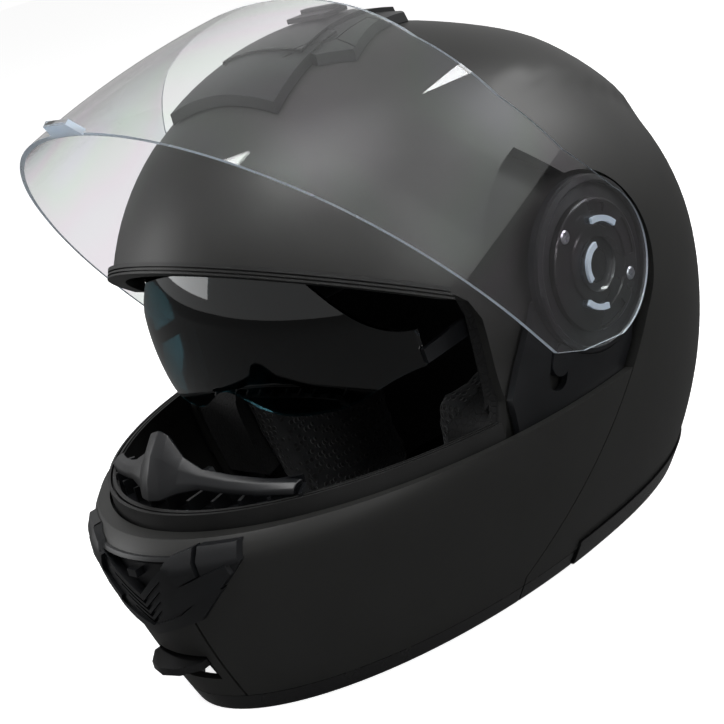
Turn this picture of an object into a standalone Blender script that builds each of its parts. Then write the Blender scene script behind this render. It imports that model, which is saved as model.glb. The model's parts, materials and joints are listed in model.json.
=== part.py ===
"""Flip-up motorcycle helmet with its clear visor raised: every piece at its real size.

Lengths are in millimetres and become metres as each mesh is made.  +X is the wearer's left,
-Y is the front and +Z is up.  The hinge axis of the chin bar and of both visors runs along X.
"""
import math

import bmesh
import bpy
import numpy as np
from mathutils import Matrix, Vector

MM = 0.001

# ---- driving dimensions of the outer form ------------------------------------------------
HALF_WIDTH = 128.0          # widest half breadth of the shell
BROW_REACH = 141.0          # front of the shell at its widest level
BACK_REACH = 157.0          # rear of the shell at its widest level
HEIGHT = 262.0              # rim to crown
WIDEST_Z = 122.0            # level of the widest section
SECTION_Y = 3.0             # every level section is centred on this y
CHIN_Z = 82.0               # level where the chin bar reaches furthest forward
CHIN_REACH = 187.0
RIM_FRONT = 169.0
RIM_BACK = 140.0
RIM_HALF_WIDTH = 86.0
DOME_POWER = (2.2, 2.23, 1.81)      # superellipse powers of the side, front and back profiles
FRONT_POWER = 1.95                  # plan powers of the front and back halves
BACK_POWER = 2.5

# ---- hinge, openings and parting lines, drawn in the side view (y, z) -----------------------
PIVOT = (6.0, 145.0)        # axis shared by the chin bar and the clear visor
BROW = (-124.0, 196.0)      # centre of the brow edge
BROW_FALL = 0.57            # fall of the brow edge for each mm rearwards
PORT_BACK_Y = -52.0         # rear edge of the eye opening
SHELL_FRONT_Y = -58.0       # front edge of the shell's side wings
CHIN_TOP_Z = 92.0           # top edge of the chin bar
TRIM_TOP_Z = 8.7            # top of the lower edge trims
SPLIT_FOOT = (-48.0, 14.0)  # foot of the parting line between chin bar and shell
SPLIT_LEAN = 0.82           # rearward lean of the parting line for each mm of height
NECK_ROLL_Y = -12.0         # the neck roll starts here and runs round the back
NECK_ROLL_TOP_Z = 13.5
NECK_LIFT = 5.0             # the neck roll's front ends clear the ground by this much

# ---- walls and clearances -----------------------------------------------------------------------
WALL = 4.0                  # moulded shells
GAP = 0.3                   # between pieces that touch
SOFT_GAP = 0.7              # between a cushion and what it lies on
PARTING = 0.8               # open joints between painted shells
RECESS = 9.3                # depth of the side recess that the chin bar and its arms lie in
SPLIT_SLANT = math.hypot(SPLIT_LEAN, 1)
RECESS_RADIUS = ((PIVOT[1] - SPLIT_FOOT[1]) * SPLIT_LEAN - PIVOT[0] + SPLIT_FOOT[0]) / SPLIT_SLANT
SWEEP_RADIUS = 61.0         # the arms pass this far out above the eye opening
HUB_FLOOR_X = 117.4         # flat floor of the round hub pocket
ARM_WALL = 3.2
ARM_X = (118.2, 121.4)      # flat hub of a hinge arm
PLATE_X = (121.7, 124.6)    # visor mechanism on the hub
FOAM_DEPTH = 36.2           # outer surface to the inside of the impact foam
LINER_WALL = 8.0
PAD_WALL = 20.0
TRIM_WALL = 6.0

# ---- clear visor, drawn closed and then raised -----------------------------------------------
VISOR_WALL = 2.2
VISOR_RAISED = 51.6         # degrees above closed in the rest pose
VISOR_HALF_WIDTH = 127.6
VISOR_LOW = (-183.0, 94.0)  # centre of its lower edge, closed
VISOR_HIGH = (-124.5, 205.0)
VISOR_BULGE = 4.0
VISOR_CENTRE_Y = -20.0      # its sides are flat and level with the hub behind this y
VISOR_POWER = 2.05
VISOR_DISC_RADIUS = 35.0
VISOR_BOSS_RADIUS = 12.0

# ---- sun visor: a surface of revolution about the hinge axis -------------------------------------
SUN_RADIUS = 119.5
SUN_AXIS_LENGTH = 128.0
SUN_HALF_WIDTH = 91.5
SUN_WALL = 2.2
SUN_RAISE = 15.0            # degrees from lowered to stowed
SUN_POCKET = 3.2            # clearance of its pocket in the foam, each side
SUN_ARM_WALL = 2.2

PIN_RADIUS = 8.0
PIN_CLEARANCE = 0.3

AROUND = 40                 # facets round the body
ROWS_LOW, ROWS_HIGH = 8, 9
BELOW = -30.0               # cutters run down to here


# ---- the outer form ------------------------------------------------------------------------------
def smooth(t):
    t = min(max(t, 0.0), 1.0)
    return t * t * (3 - 2 * t)


def lofted(t, power):
    return (1 - t**power) ** (1 / power)


def level_section(z, chinless=False):
    """Half width, front reach and back reach of the body at height z."""
    low = max(z, 0.0)
    front, back = BROW_REACH + SECTION_Y, BACK_REACH - SECTION_Y
    if low >= WIDEST_Z:
        t = min((low - WIDEST_Z) / (HEIGHT - WIDEST_Z), 1.0)
        side_power, front_power, back_power = DOME_POWER
        return (HALF_WIDTH * lofted(t, side_power), front * lofted(t, front_power),
                back * lofted(t, back_power))
    s = 1 - low / WIDEST_Z
    width = HALF_WIDTH - (HALF_WIDTH - RIM_HALF_WIDTH) * s**2
    rear = back - (back - (RIM_BACK - SECTION_Y)) * s**1.8
    if chinless:
        return width, front, rear
    chin = CHIN_REACH + SECTION_Y
    if low >= CHIN_Z:
        return width, front + (chin - front) * smooth((WIDEST_Z - low) / (WIDEST_Z - CHIN_Z)), rear
    fall = (1 - low / CHIN_Z) ** 1.6
    return width, chin - (chin - RIM_FRONT - SECTION_Y) * fall, rear


def signed_power(value, power):
    return math.copysign(abs(value) ** power, value)


def surface_point(angle, z, chinless=False):
    """A point of the outer form: angle 0 is the front and grows towards +X."""
    width, front, back = level_section(z, chinless)
    c, s = math.cos(angle), math.sin(angle)
    power = FRONT_POWER if c > 0 else BACK_POWER
    reach = front if c > 0 else back
    return Vector((width * signed_power(s, 2 / power),
                   SECTION_Y - reach * signed_power(c, 2 / power), z))


def body_levels(step):
    low = [WIDEST_Z * i / ROWS_LOW for i in range(0, ROWS_LOW, step)]
    high = [WIDEST_Z + (HEIGHT - WIDEST_Z) * math.sin(math.pi / 2 * i / ROWS_HIGH)
            for i in range(0, ROWS_HIGH, step)]
    return low + high


# ---- Blender helpers ---------------------------------------------------------------------------
def mesh_object(name, points, faces):
    mesh = bpy.data.meshes.new(name)
    mesh.from_pydata([Vector(p) * MM for p in points], [], faces)
    obj = bpy.data.objects.new(name, mesh)
    bpy.context.scene.collection.objects.link(obj)
    return obj


def curved_object(name, points, faces):
    """A mesh whose quads may be twisted, so each is split into two flat triangles."""
    flat = []
    for face in faces:
        flat += [face] if len(face) != 4 else [face[:3], (face[0], face[2], face[3])]
    return mesh_object(name, points, flat)


def combine(first, second, operation, keep=False):
    """Boolean of two objects, applied to the first; the second is removed unless it is kept."""
    modifier = first.modifiers.new(operation.title(), "BOOLEAN")
    modifier.object, modifier.operation, modifier.solver = second, operation, "EXACT"
    bpy.context.view_layer.update()
    evaluated = first.evaluated_get(bpy.context.evaluated_depsgraph_get())
    made = bpy.data.meshes.new_from_object(evaluated)
    first.modifiers.clear()
    first.data = made
    if not keep:
        bpy.data.objects.remove(second)
    return first


def cut(first, second, keep=False):
    return combine(first, second, "DIFFERENCE", keep)


def meet(first, second, keep=False):
    return combine(first, second, "INTERSECT", keep)


def join(first, second, keep=False):
    return combine(first, second, "UNION", keep)


def outward(obj):
    """Turns the faces of a mirrored mesh to point out again."""
    obj.data.flip_normals()
    return obj


def mirrored(obj, name):
    """The right-hand twin of a left-hand piece."""
    points = [Vector((-v.co.x, v.co.y, v.co.z)) / MM for v in obj.data.vertices]
    faces = [tuple(reversed(p.vertices)) for p in obj.data.polygons]
    return mesh_object(name, points, faces)


def surface_normal(angle, z, chinless=False):
    h = 0.05
    level = min(max(z, 0.01), HEIGHT - 1)
    high, low = min(level + 1, HEIGHT - 0.5), max(level - 1, 0.0)
    along = surface_point(angle + h, level, chinless) - surface_point(angle - h, level, chinless)
    up = surface_point(angle, high, chinless) - surface_point(angle, low, chinless)
    return along.cross(up).normalized()


def wall_point(angle, z, depth):
    """The plan point at height z that lies depth under the outer form."""
    n = surface_normal(angle, z)
    p = surface_point(angle, z)
    flat = n.x * n.x + n.y * n.y
    return p.x - n.x / flat * depth, p.y - n.y / flat * depth


def body(offset, step=1, low=None, name="body", chinless=False):
    """The outer form moved inwards by offset, with a straight column below it or cut off at low.

    The head side of the lining is chinless: it drops straight from the brow to the rim.
    """
    count = AROUND // step
    points, faces = [], []
    levels = [BELOW] + body_levels(step)
    for z in levels:
        for k in range(count):
            a = 2 * math.pi * k / count
            q = surface_point(a, max(z, 0.01), chinless) - surface_normal(a, z, chinless) * offset
            points.append((q.x, q.y, q.z if z > BELOW else z))
    crown = len(points)
    points.append((0, SECTION_Y, HEIGHT - offset))
    rows = len(levels)
    for r in range(rows - 1):
        for k in range(count):
            a, b = r * count + k, r * count + (k + 1) % count
            faces.append((a, b, b + count, a + count))
    top = (rows - 1) * count
    faces += [(top + k, top + (k + 1) % count, crown) for k in range(count)]
    faces.append(tuple(reversed(range(count))))
    solid = curved_object(name, points, faces)
    return solid if low is None else cut(solid, slab((-300, 300), (-300, 300), (BELOW - 20, low)))


def prism(outline, low, high, axis, name="prism"):
    """A polygon extruded along an axis: X takes (y, z), Y takes (x, z), Z takes (x, y)."""
    area = sum(a[0] * b[1] - b[0] * a[1] for a, b in zip(outline, outline[1:] + outline[:1]))
    ring = outline if area > 0 else list(reversed(outline))
    place = {"X": lambda p, d: (d, p[0], p[1]), "Y": lambda p, d: (p[0], d, p[1]),
             "Z": lambda p, d: (p[0], p[1], d)}[axis]
    n = len(ring)
    points = [place(p, low) for p in ring] + [place(p, high) for p in ring]
    faces = [tuple(reversed(range(n))), tuple(range(n, 2 * n))]
    faces += [(i, (i + 1) % n, n + (i + 1) % n, n + i) for i in range(n)]
    if axis == "Y":
        faces = [tuple(reversed(f)) for f in faces]
    return mesh_object(name, points, faces)


def side_prism(outline, low=-200.0, high=200.0):
    return prism(outline, low, high, "X")


def slab(x, y, z):
    return prism([(y[0], z[0]), (y[1], z[0]), (y[1], z[1]), (y[0], z[1])], x[0], x[1], "X")


def arc(centre, radius, start, end, count):
    """Points of a circle in the side view; angles in degrees, 0 forwards and 90 up."""
    return [(centre[0] - radius * math.cos(math.radians(start + (end - start) * i / count)),
             centre[1] + radius * math.sin(math.radians(start + (end - start) * i / count)))
            for i in range(count + 1)]


def rod(radius, low, high, centre=PIVOT, count=24):
    """A round bar along X."""
    return side_prism(arc(centre, radius, 0, 360, count)[:-1], low, high)


def skin(outer, inner, step=1):
    return cut(body(outer, step), body(inner, step))


# ---- outlines in the side view -------------------------------------------------------------------
def brow_z(y, drop=0.0):
    return BROW[1] - BROW_FALL * (y - BROW[0]) - drop


def split_y(z):
    return SPLIT_FOOT[0] + SPLIT_LEAN * max(z - SPLIT_FOOT[1], 0.0)


def front_opening(back=0.0, drop=0.0):
    """All that is open when the chin bar is away."""
    edge = PORT_BACK_Y + back
    wing = SHELL_FRONT_Y + back
    return [(-260, brow_z(-260, drop)), (edge - 12, brow_z(edge - 12, drop)),
            (edge - 3, brow_z(edge, drop + 3)), (edge, brow_z(edge, drop + 12)),
            (edge - 1, 105), (wing, CHIN_TOP_Z - 4), (wing, BELOW - 20), (-260, BELOW - 20)]


def arm_recess(grow=0.0):
    """The side area where the hinge arms lie: the parting line runs into the hub's circle."""
    meeting = math.degrees(math.atan(SPLIT_LEAN)) - 180
    turn = arc(PIVOT, RECESS_RADIUS + grow, meeting, -268, 10)
    turn += arc(PIVOT, SWEEP_RADIUS + grow, -285, -335, 5)
    foot = SPLIT_FOOT[0] + grow
    front = SHELL_FRONT_Y - 8
    return [(front, BELOW - 20), (foot, BELOW - 20), (foot, SPLIT_FOOT[1])] + turn + [
        (front, brow_z(front, -grow))]


def chin_outline(top, foot, back=PARTING):
    bend = SPLIT_FOOT[1]
    return [(-260, top), (split_y(top) - back, top), (split_y(bend) - back, bend),
            (split_y(bend) - back, foot), (-260, foot)]


# ---- pieces of the shell ------------------------------------------------------------------------
def make_outer_shell():
    shell = body(0, low=TRIM_TOP_Z + GAP, name="outer_shell")
    rear = [(NECK_ROLL_Y - GAP, -10), (200, -10), (200, NECK_ROLL_TOP_Z + GAP),
            (NECK_ROLL_Y - GAP, NECK_ROLL_TOP_Z + GAP)]
    cut(shell, side_prism(rear))
    cut(shell, side_prism(front_opening()))
    recess = cut(side_prism(arm_recess()), body(RECESS))
    inside = join(cut(body(WALL), side_prism(arm_recess(WALL))), body(RECESS + WALL))
    for side in (-1, 1):
        join(recess, rod(RECESS_RADIUS + 0.6, *sorted((side * HUB_FLOOR_X, side * 203)), count=36))
        join(inside, rod(PIN_RADIUS + GAP, *sorted((side * 100, side * 135))))
    return cut(cut(shell, recess), inside)


def sun_radius(x):
    return SUN_RADIUS * math.sqrt(1 - (x / SUN_AXIS_LENGTH) ** 2)


def sun_edges(x):
    """Lower and upper edge angles of the lowered sun visor, in degrees."""
    t = abs(x) / SUN_HALF_WIDTH
    nose = math.exp(-(x / 20) ** 2)
    return -14.5 + 7 * nose + 5 * smooth((t - 0.6) / 0.4), 22 - 20 * smooth((t - 0.4) / 0.6)


def revolved(half_width, outer, inner, edges, across, up, name="revolved"):
    """A curved wall turned about the hinge axis, between two offsets of the sun visor's radius."""
    points, faces = [], []
    for layer in (outer, inner):
        for i in range(across + 1):
            x = half_width * (2 * i / across - 1)
            low, high = edges(x)
            for j in range(up + 1):
                a = math.radians(low + (high - low) * j / up)
                r = sun_radius(x) + layer
                points.append((x, PIVOT[0] - r * math.cos(a), PIVOT[1] + r * math.sin(a)))
    n, size = up + 1, (across + 1) * (up + 1)
    for i in range(across):
        for j in range(up):
            a, b = i * n + j, (i + 1) * n + j
            faces.append((a, b, b + 1, a + 1))
            faces.append((size + a, size + a + 1, size + b + 1, size + b))
    for j in range(up):
        end = across * n + j
        faces.append((j, j + 1, size + j + 1, size + j))
        faces.append((end + 1, end, size + end, size + end + 1))
    for i in range(across):
        a, b = i * n, (i + 1) * n
        faces.append((b, a, size + a, size + b))
        faces.append((a + up, b + up, size + b + up, size + a + up))
    return curved_object(name, points, faces)


SUN_ARM_X = (SUN_HALF_WIDTH + GAP, SUN_HALF_WIDTH + GAP + SUN_ARM_WALL)
FOAM_FOOT_Z = 22.0


def without_offcuts(obj):
    """Keeps only the largest of a mesh's separate bodies."""
    form = bmesh.new()
    form.from_mesh(obj.data)
    left, groups = set(form.verts), []
    while left:
        queue = [left.pop()]
        group = set(queue)
        while queue:
            for edge in queue.pop().link_edges:
                fresh = set(edge.verts) & left
                left -= fresh
                group |= fresh
                queue += fresh
        groups.append(group)
    groups.sort(key=len)
    for group in groups[:-1]:
        bmesh.ops.delete(form, geom=list(group), context="VERTS")
    form.to_mesh(obj.data)
    form.free()
    return obj


def sun_visor_room():
    """All that the sun visor, its arms and their pins pass through."""
    low, high = -40, 24 + SUN_RAISE
    room = revolved(SUN_HALF_WIDTH + 6, SUN_POCKET, -SUN_WALL - SUN_POCKET,
                    lambda x: (low, high - 14 * smooth((abs(x) - 45) / 50)), 14, 6)
    swing = [(PIVOT[0] + 14, PIVOT[1])] + arc(PIVOT, sun_radius(SUN_HALF_WIDTH) + 8, low, high, 6)
    for side in (-1, 1):
        join(room, side_prism(swing, *sorted((side * (SUN_HALF_WIDTH - 40), side * (SUN_ARM_X[1] + 1)))))
        join(room, rod(18, *sorted((side * 60, side * HUB_FLOOR_X)), count=12))
    return room


def make_impact_liner():
    foam = body(WALL + GAP, 2, low=FOAM_FOOT_Z, name="impact_liner")
    opening = front_opening(2, -1)
    wing, notch = SHELL_FRONT_Y + 2, LATCH[0] + 30
    low, high = LATCH[1] - 13, LATCH[1] + 13
    opening[-2:-2] = [(wing, high), (notch, high), (notch, low), (wing, low)]
    cut(foam, side_prism(opening))
    cut(foam, cut(side_prism(arm_recess(WALL + 2)), body(RECESS + WALL + GAP)))
    cut(foam, body(FOAM_DEPTH, 2, chinless=True))
    return without_offcuts(cut(foam, sun_visor_room()))


def make_crown_liner():
    liner = body(FOAM_DEPTH + SOFT_GAP, 2, low=112, name="crown_liner", chinless=True)
    cut(liner, body(FOAM_DEPTH + LINER_WALL, 2, chinless=True))
    cut(liner, side_prism(front_opening(26, -2)))
    return liner


def make_cheek_pad():
    outline = [(-47, 98), (-20, 108), (24, 106), (36, 70), (22, 28), (-20, 24), (-44, 40)]
    pad = side_prism(outline, 10, 200)
    meet(pad, body(FOAM_DEPTH + SOFT_GAP, 2, chinless=True))
    cut(pad, body(FOAM_DEPTH + PAD_WALL, 2, chinless=True))
    return pad


def make_neck_roll():
    roll = body(-1.2, low=0)
    cut(roll, body(10))
    cut(roll, side_prism([(-260, -5), (NECK_ROLL_Y, -5), (NECK_ROLL_Y, 300), (-260, 300)]))
    cut(roll, slab((-200, 200), (-260, 260), (NECK_ROLL_TOP_Z, 300)))
    return roll


def make_edge_trim():
    trim = cut(body(0, low=0), body(TRIM_WALL))
    return meet(trim, slab((10, 200), (SPLIT_FOOT[0], NECK_ROLL_Y - PARTING), (-5, TRIM_TOP_Z)))


def make_brow_seal():
    back = PORT_BACK_Y - 16
    seal = cut(body(-2.4), body(TRIM_WALL))
    return meet(seal, side_prism([(-200, brow_z(-200, GAP)), (back, brow_z(back, GAP)),
                                  (back, brow_z(back, 6)), (-200, brow_z(-200, 6))]))


TOP_VENT = [(-52, -30), (-38, -42), (38, -42), (52, -30), (42, 0), (36, 30), (24, 40),
            (-24, 40), (-36, 30), (-42, 0)]
TOP_VENT_RISE = 6.5


def make_top_vent():
    housing = meet(cut(body(-TOP_VENT_RISE), body(-GAP)), prism(TOP_VENT, 200, 300, "Z"))
    mouth = prism([(-34, -60), (34, -60), (28, -16), (-28, -16)], 200, 300, "Z")
    return cut(housing, meet(cut(body(-TOP_VENT_RISE + 2.2), body(-GAP - 1)), mouth))


def make_top_switch():
    low = HEIGHT + TOP_VENT_RISE + GAP
    switch = slab((-13, 13), (-6, 9), (low, low + 2.2))
    return join(switch, slab((-13, 13), (4, 8), (low + 1, low + 4)))


REAR_VENT = [(-34, 150), (34, 150), (26, 194), (-26, 194)]


def make_rear_vent():
    cover = meet(cut(body(-5.5), body(-GAP)), prism(REAR_VENT, 40, 220, "Y"))
    for x in (-12, 12):
        cut(cover, prism([(x - 8, 154), (x + 8, 154), (x + 6, 163), (x - 6, 163)], 40, 220, "Y"))
    return cover


# ---- hinge hardware, left side --------------------------------------------------------------
ARM_DEPTH = WALL + GAP
LOCK_CENTRE = (-27.0, 111.0)
LOCK_AXIS = (-0.4, -0.917)
LOCK_TRAVEL = 6.0
SCREW_ANGLES = (48, 210)
SCREW_RING = 25.0
HEAD_RADIUS = 3.0


def pill(centre, axis, half_length, radius):
    """A slot with round ends in the side view."""
    ends = []
    for sign in (1, -1):
        cy = centre[0] + axis[0] * (half_length - radius) * sign
        cz = centre[1] + axis[1] * (half_length - radius) * sign
        start = math.atan2(axis[1] * sign, axis[0] * sign) - math.pi / 2
        ends += [(cy + radius * math.cos(start + math.pi * i / 8),
                  cz + radius * math.sin(start + math.pi * i / 8)) for i in range(9)]
    return ends


def layer(depth, thickness):
    return cut(body(depth), body(depth + thickness))


def make_arm():
    low, high = CHIN_TOP_Z - 30, 150.0
    web = [(PORT_BACK_Y - 4, low), (split_y(low) - 2, low), (split_y(CHIN_TOP_Z + 10) - 2, CHIN_TOP_Z + 10),
           (30, 122), (0, high), (PORT_BACK_Y + 20, high - 8), (PORT_BACK_Y - 2, CHIN_TOP_Z + 14)]
    arm = meet(side_prism(web, 60, 200), layer(ARM_DEPTH, ARM_WALL))
    cut(arm, rod(RECESS_RADIUS - 2, ARM_X[1], 200, count=40))
    join(arm, rod(RECESS_RADIUS - 2, *ARM_X, count=40))
    cut(arm, rod(PIN_RADIUS + PIN_CLEARANCE, 60, 200))
    return cut(arm, side_prism(pill(LOCK_CENTRE, LOCK_AXIS, 11, 5), 60, 200))


def make_lock_slider():
    centre = (LOCK_CENTRE[0] - 3 * LOCK_AXIS[0], LOCK_CENTRE[1] - 3 * LOCK_AXIS[1])
    return meet(side_prism(pill(centre, LOCK_AXIS, 7.6, 4.6), 60, 200), layer(ARM_DEPTH - 0.8, ARM_WALL))


def screw_place(angle):
    a = math.radians(angle)
    return PIVOT[0] - SCREW_RING * math.cos(a), PIVOT[1] + SCREW_RING * math.sin(a)


def make_mechanism():
    plate = rod(29.5, *PLATE_X, count=32)
    cut(plate, rod(VISOR_BOSS_RADIUS + GAP, 100, 140))
    for angle in SCREW_ANGLES:
        cut(plate, rod(HEAD_RADIUS + GAP, 100, 140, screw_place(angle), 12))
    return plate


def make_screw(angle):
    return rod(HEAD_RADIUS, ARM_X[1] + GAP, PLATE_X[1] + 0.3, screw_place(angle), 12)


PIN_FLANGE_X = (108.0, 110.9)


def make_pin():
    pin = rod(PIN_RADIUS, PIN_FLANGE_X[0] + 0.5, ARM_X[1] - 0.2)
    return join(pin, rod(PIN_RADIUS + 4, *PIN_FLANGE_X))


# ---- clear visor -------------------------------------------------------------------------------
def visor_point(angle, z, inset):
    """The closed visor's surface: level ellipses whose front leans back with height."""
    t = (z - VISOR_LOW[1]) / (VISOR_HIGH[1] - VISOR_LOW[1])
    front = VISOR_LOW[0] + (VISOR_HIGH[0] - VISOR_LOW[0]) * t - VISOR_BULGE * 4 * t * (1 - t)
    reach = VISOR_CENTRE_Y - front - inset
    e = 2 / VISOR_POWER
    return ((VISOR_HALF_WIDTH - inset) * signed_power(math.sin(angle), e),
            VISOR_CENTRE_Y - reach * abs(math.cos(angle)) ** e, z)


def visor_wall():
    """The whole curved wall, taller than the visor, with flat sides that run back past the hinge."""
    levels = [VISOR_LOW[1] - 8 + i * 20.5 for i in range(8)]
    turns = [math.radians(a) for a in range(-90, 91, 6)]
    tail = PIVOT[0] + 50
    points, faces = [], []
    for inset in (0, VISOR_WALL):
        for z in levels:
            row = [visor_point(a, z, inset) for a in turns]
            points += [(row[0][0], tail, z)] + row + [(row[-1][0], tail, z)]
    n, rows = len(turns) + 2, len(levels)
    size = n * rows
    for r in range(rows - 1):
        for k in range(n - 1):
            a, b = r * n + k, (r + 1) * n + k
            faces.append((a, a + 1, b + 1, b))
            faces.append((size + a, size + b, size + b + 1, size + a + 1))
        left, right = r * n, r * n + n - 1
        faces.append((left, left + n, size + left + n, size + left))
        faces.append((right + n, right, size + right, size + right + n))
    for k in range(n - 1):
        top = (rows - 1) * n + k
        faces.append((k + 1, k, size + k, size + k + 1))
        faces.append((top, top + 1, size + top + 1, size + top))
    return curved_object("visor_wall", points, faces)


def visor_outline():
    """Side outline of the closed visor."""
    edge = VISOR_LOW[1]
    return [(-230, edge), (-120, edge + 3), (0, edge + 4), (16, edge + 14)] + arc(
        PIVOT, VISOR_DISC_RADIUS, -150, -285, 12) + [
        (-40, 174), (-75, 178), (-105, 189), (-128, 207), (-230, 262)]


def make_visor():
    visor = meet(side_prism(visor_outline()), visor_wall())
    for side in (-1, 1):
        boss = sorted((side * (PLATE_X[0] + 0.2), side * (VISOR_HALF_WIDTH - 0.8)))
        join(visor, rod(VISOR_BOSS_RADIUS, *boss))
    low = VISOR_LOW[1] + 0.6
    join(visor, prism([(-11, -181.5), (11, -181.5), (8, -189), (-8, -189)], low, low + 2.8, "Z"))
    return turned(visor, VISOR_RAISED)


def turned(obj, degrees):
    """Turns a mesh about the hinge axis, front upwards."""
    centre = Matrix.Translation((0, PIVOT[0] * MM, PIVOT[1] * MM))
    turn = Matrix.Rotation(-math.radians(degrees), 4, "X")
    obj.data.transform(centre @ turn @ centre.inverted())
    return obj


# ---- sun visor -------------------------------------------------------------------------------
def make_sun_visor():
    return revolved(SUN_HALF_WIDTH, 0, -SUN_WALL, sun_edges, 20, 5)


def make_sun_arm():
    low, high = sun_edges(SUN_HALF_WIDTH)
    outline = arc(PIVOT, 9, 15, 280, 8) + arc(PIVOT, sun_radius(SUN_HALF_WIDTH), low + 1, high - 6, 3)
    return cut(side_prism(outline, *SUN_ARM_X), rod(4.3, 60, 120, count=16))


def make_sun_pin():
    outer = PIN_FLANGE_X[0] - GAP
    pin = rod(4, SUN_ARM_X[0] - 1.5, outer - 1, count=16)
    return join(pin, rod(9, SUN_ARM_X[1] + GAP, outer, count=16))


SUN_LEVER_X = (68.0, 77.0)
SUN_LEVER_TRAVEL = 12.0


def make_sun_lever():
    return slab(SUN_LEVER_X, (-7, 3), (0.6, 8))


# ---- chin bar ----------------------------------------------------------------------------------
VENT = [(-52, CHIN_TOP_Z - 5), (52, CHIN_TOP_Z - 5), (53, 83), (49, 78), (0, 47), (-49, 78), (-53, 83)]
VENT_MOUTH = [(-19, 84), (19, 84), (0, 69)]
VENT_MIDDLE = (0.0, 72.0)
TAB_SLOT_X, TAB_SLOT_Z = 17.0, (20.0, 34.0)
TAB_TRAVEL = 4.0
SHUTTER_TRAVEL = 4.0
FRONT_Y = (-240.0, -100.0)


def scaled(outline, factor):
    cx, cz = VENT_MIDDLE
    return [(cx + (x - cx) * factor, cz + (z - cz) * factor) for x, z in outline]


def make_chin_bar():
    bar = meet(skin(0, WALL), side_prism(chin_outline(CHIN_TOP_Z, TRIM_TOP_Z + GAP)))
    cut(bar, prism(scaled(VENT, 0.9), *FRONT_Y, "Y"))
    return cut(bar, slab((-TAB_SLOT_X, TAB_SLOT_X), FRONT_Y, TAB_SLOT_Z))


def make_chin_trim():
    trim = cut(body(0, low=0), body(TRIM_WALL))
    back = SPLIT_FOOT[0] - PARTING
    return meet(trim, side_prism([(-260, -5), (back, -5), (back, TRIM_TOP_Z), (-260, TRIM_TOP_Z)]))


def make_chin_foam():
    back = SHELL_FRONT_Y - 34
    foam = meet(skin(WALL + GAP, 20, 2), side_prism([(-260, 84), (back, 84), (back, 12), (-260, 12)]))
    cut(foam, prism([(-40, 90), (40, 90), (30, 46), (-30, 46)], *FRONT_Y, "Y"))
    return cut(foam, slab((-26, 26), FRONT_Y, (5, TAB_SLOT_Z[1] + 6)))


def band(z, depth, thickness, half_turn, steps, low, high):
    """An upright band that follows the wall at height z, a given depth under the outer form."""
    turns = [half_turn * (2 * i / steps - 1) for i in range(steps + 1)]
    outer = [wall_point(a, z, depth) for a in turns]
    inner = [wall_point(a, z, depth) for a in reversed(turns)]
    moved = []
    for x, y in inner:
        reach = math.hypot(x, y - SECTION_Y)
        moved.append((x * (1 - thickness / reach), SECTION_Y + (y - SECTION_Y) * (1 - thickness / reach)))
    return prism(outer + moved, low, high, "Z")


GASKET_DEPTH = WALL + 1.3
GASKET_WALL = 5.0
GASKET_Z = (CHIN_TOP_Z - 5, CHIN_TOP_Z + 7)


def make_gasket():
    gasket = band(CHIN_TOP_Z, GASKET_DEPTH, GASKET_WALL, math.radians(80), 32, *GASKET_Z)
    return meet(gasket, slab((-200, 200), (-260, PORT_BACK_Y - 9), (0, 200)))


def make_deflector():
    """The nose guard: a peaked wall that stands on the gasket's inner side."""
    base = band(CHIN_TOP_Z, GASKET_DEPTH, GASKET_WALL + GAP, math.radians(24), 10, 80, 140)
    guard = band(CHIN_TOP_Z, GASKET_DEPTH, GASKET_WALL + GAP + 1.8, math.radians(24), 10, 80, 140)
    cut(guard, base)
    face = [(-42, CHIN_TOP_Z - 3), (42, CHIN_TOP_Z - 3), (42, 103), (30, 106), (12, 112), (6, 127), (-6, 127),
            (-12, 112), (-30, 106), (-42, 103)]
    return meet(guard, prism(face, *FRONT_Y, "Y"))


def make_vent_frame():
    frame = meet(cut(body(-2.4), body(-GAP)), prism(VENT, *FRONT_Y, "Y"))
    join(frame, meet(cut(body(-1), body(WALL - 1)), prism(scaled(VENT, 0.88), *FRONT_Y, "Y")))
    return cut(frame, prism(VENT_MOUTH, *FRONT_Y, "Y"))


def make_shutter():
    leaf = [(-24, 82), (24, 82), (9, 65), (-9, 65)]
    shutter = meet(layer(WALL - 1 + GAP, 2), prism(leaf, *FRONT_Y, "Y"))
    face = surface_point(0, 78).y
    return join(shutter, slab((-3, 3), (face - 1, face + 6), (77, 80.5)))


def make_release_tab():
    top = TAB_SLOT_Z[1] - 1.4
    front = surface_point(0, top).y
    tongue = [(-16.4, front + 6), (16.4, front + 6), (16.4, front - 1), (9, front - 8.5), (0, front - 11),
              (-9, front - 8.5), (-16.4, front - 1)]
    tab = prism(tongue, top - 3.6, top, "Z")
    return join(tab, meet(layer(WALL + 0.4, 2.4), slab((-21, 21), FRONT_Y, (top - 7, top + 4))))


LATCH = (-66.0, 40.0)
LATCH_PIN_RADIUS = 2.6
HOOK_X = (84.0, 87.5)
EAR_X = (78.5, 81.5)
HOOK_PIVOT = (-77.0, 58.0)


def make_striker():
    plate = meet(slab((70, 110), (-55, -40), (32, 48)), layer(RECESS + WALL + GAP, 3))
    join(plate, slab((EAR_X[0], 86), (-52, -46), (35, 45)))
    join(plate, slab(EAR_X, (-70, -48), (36, 44)))
    return join(plate, rod(LATCH_PIN_RADIUS, EAR_X[0] + 1, 91, LATCH, 16))


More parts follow.
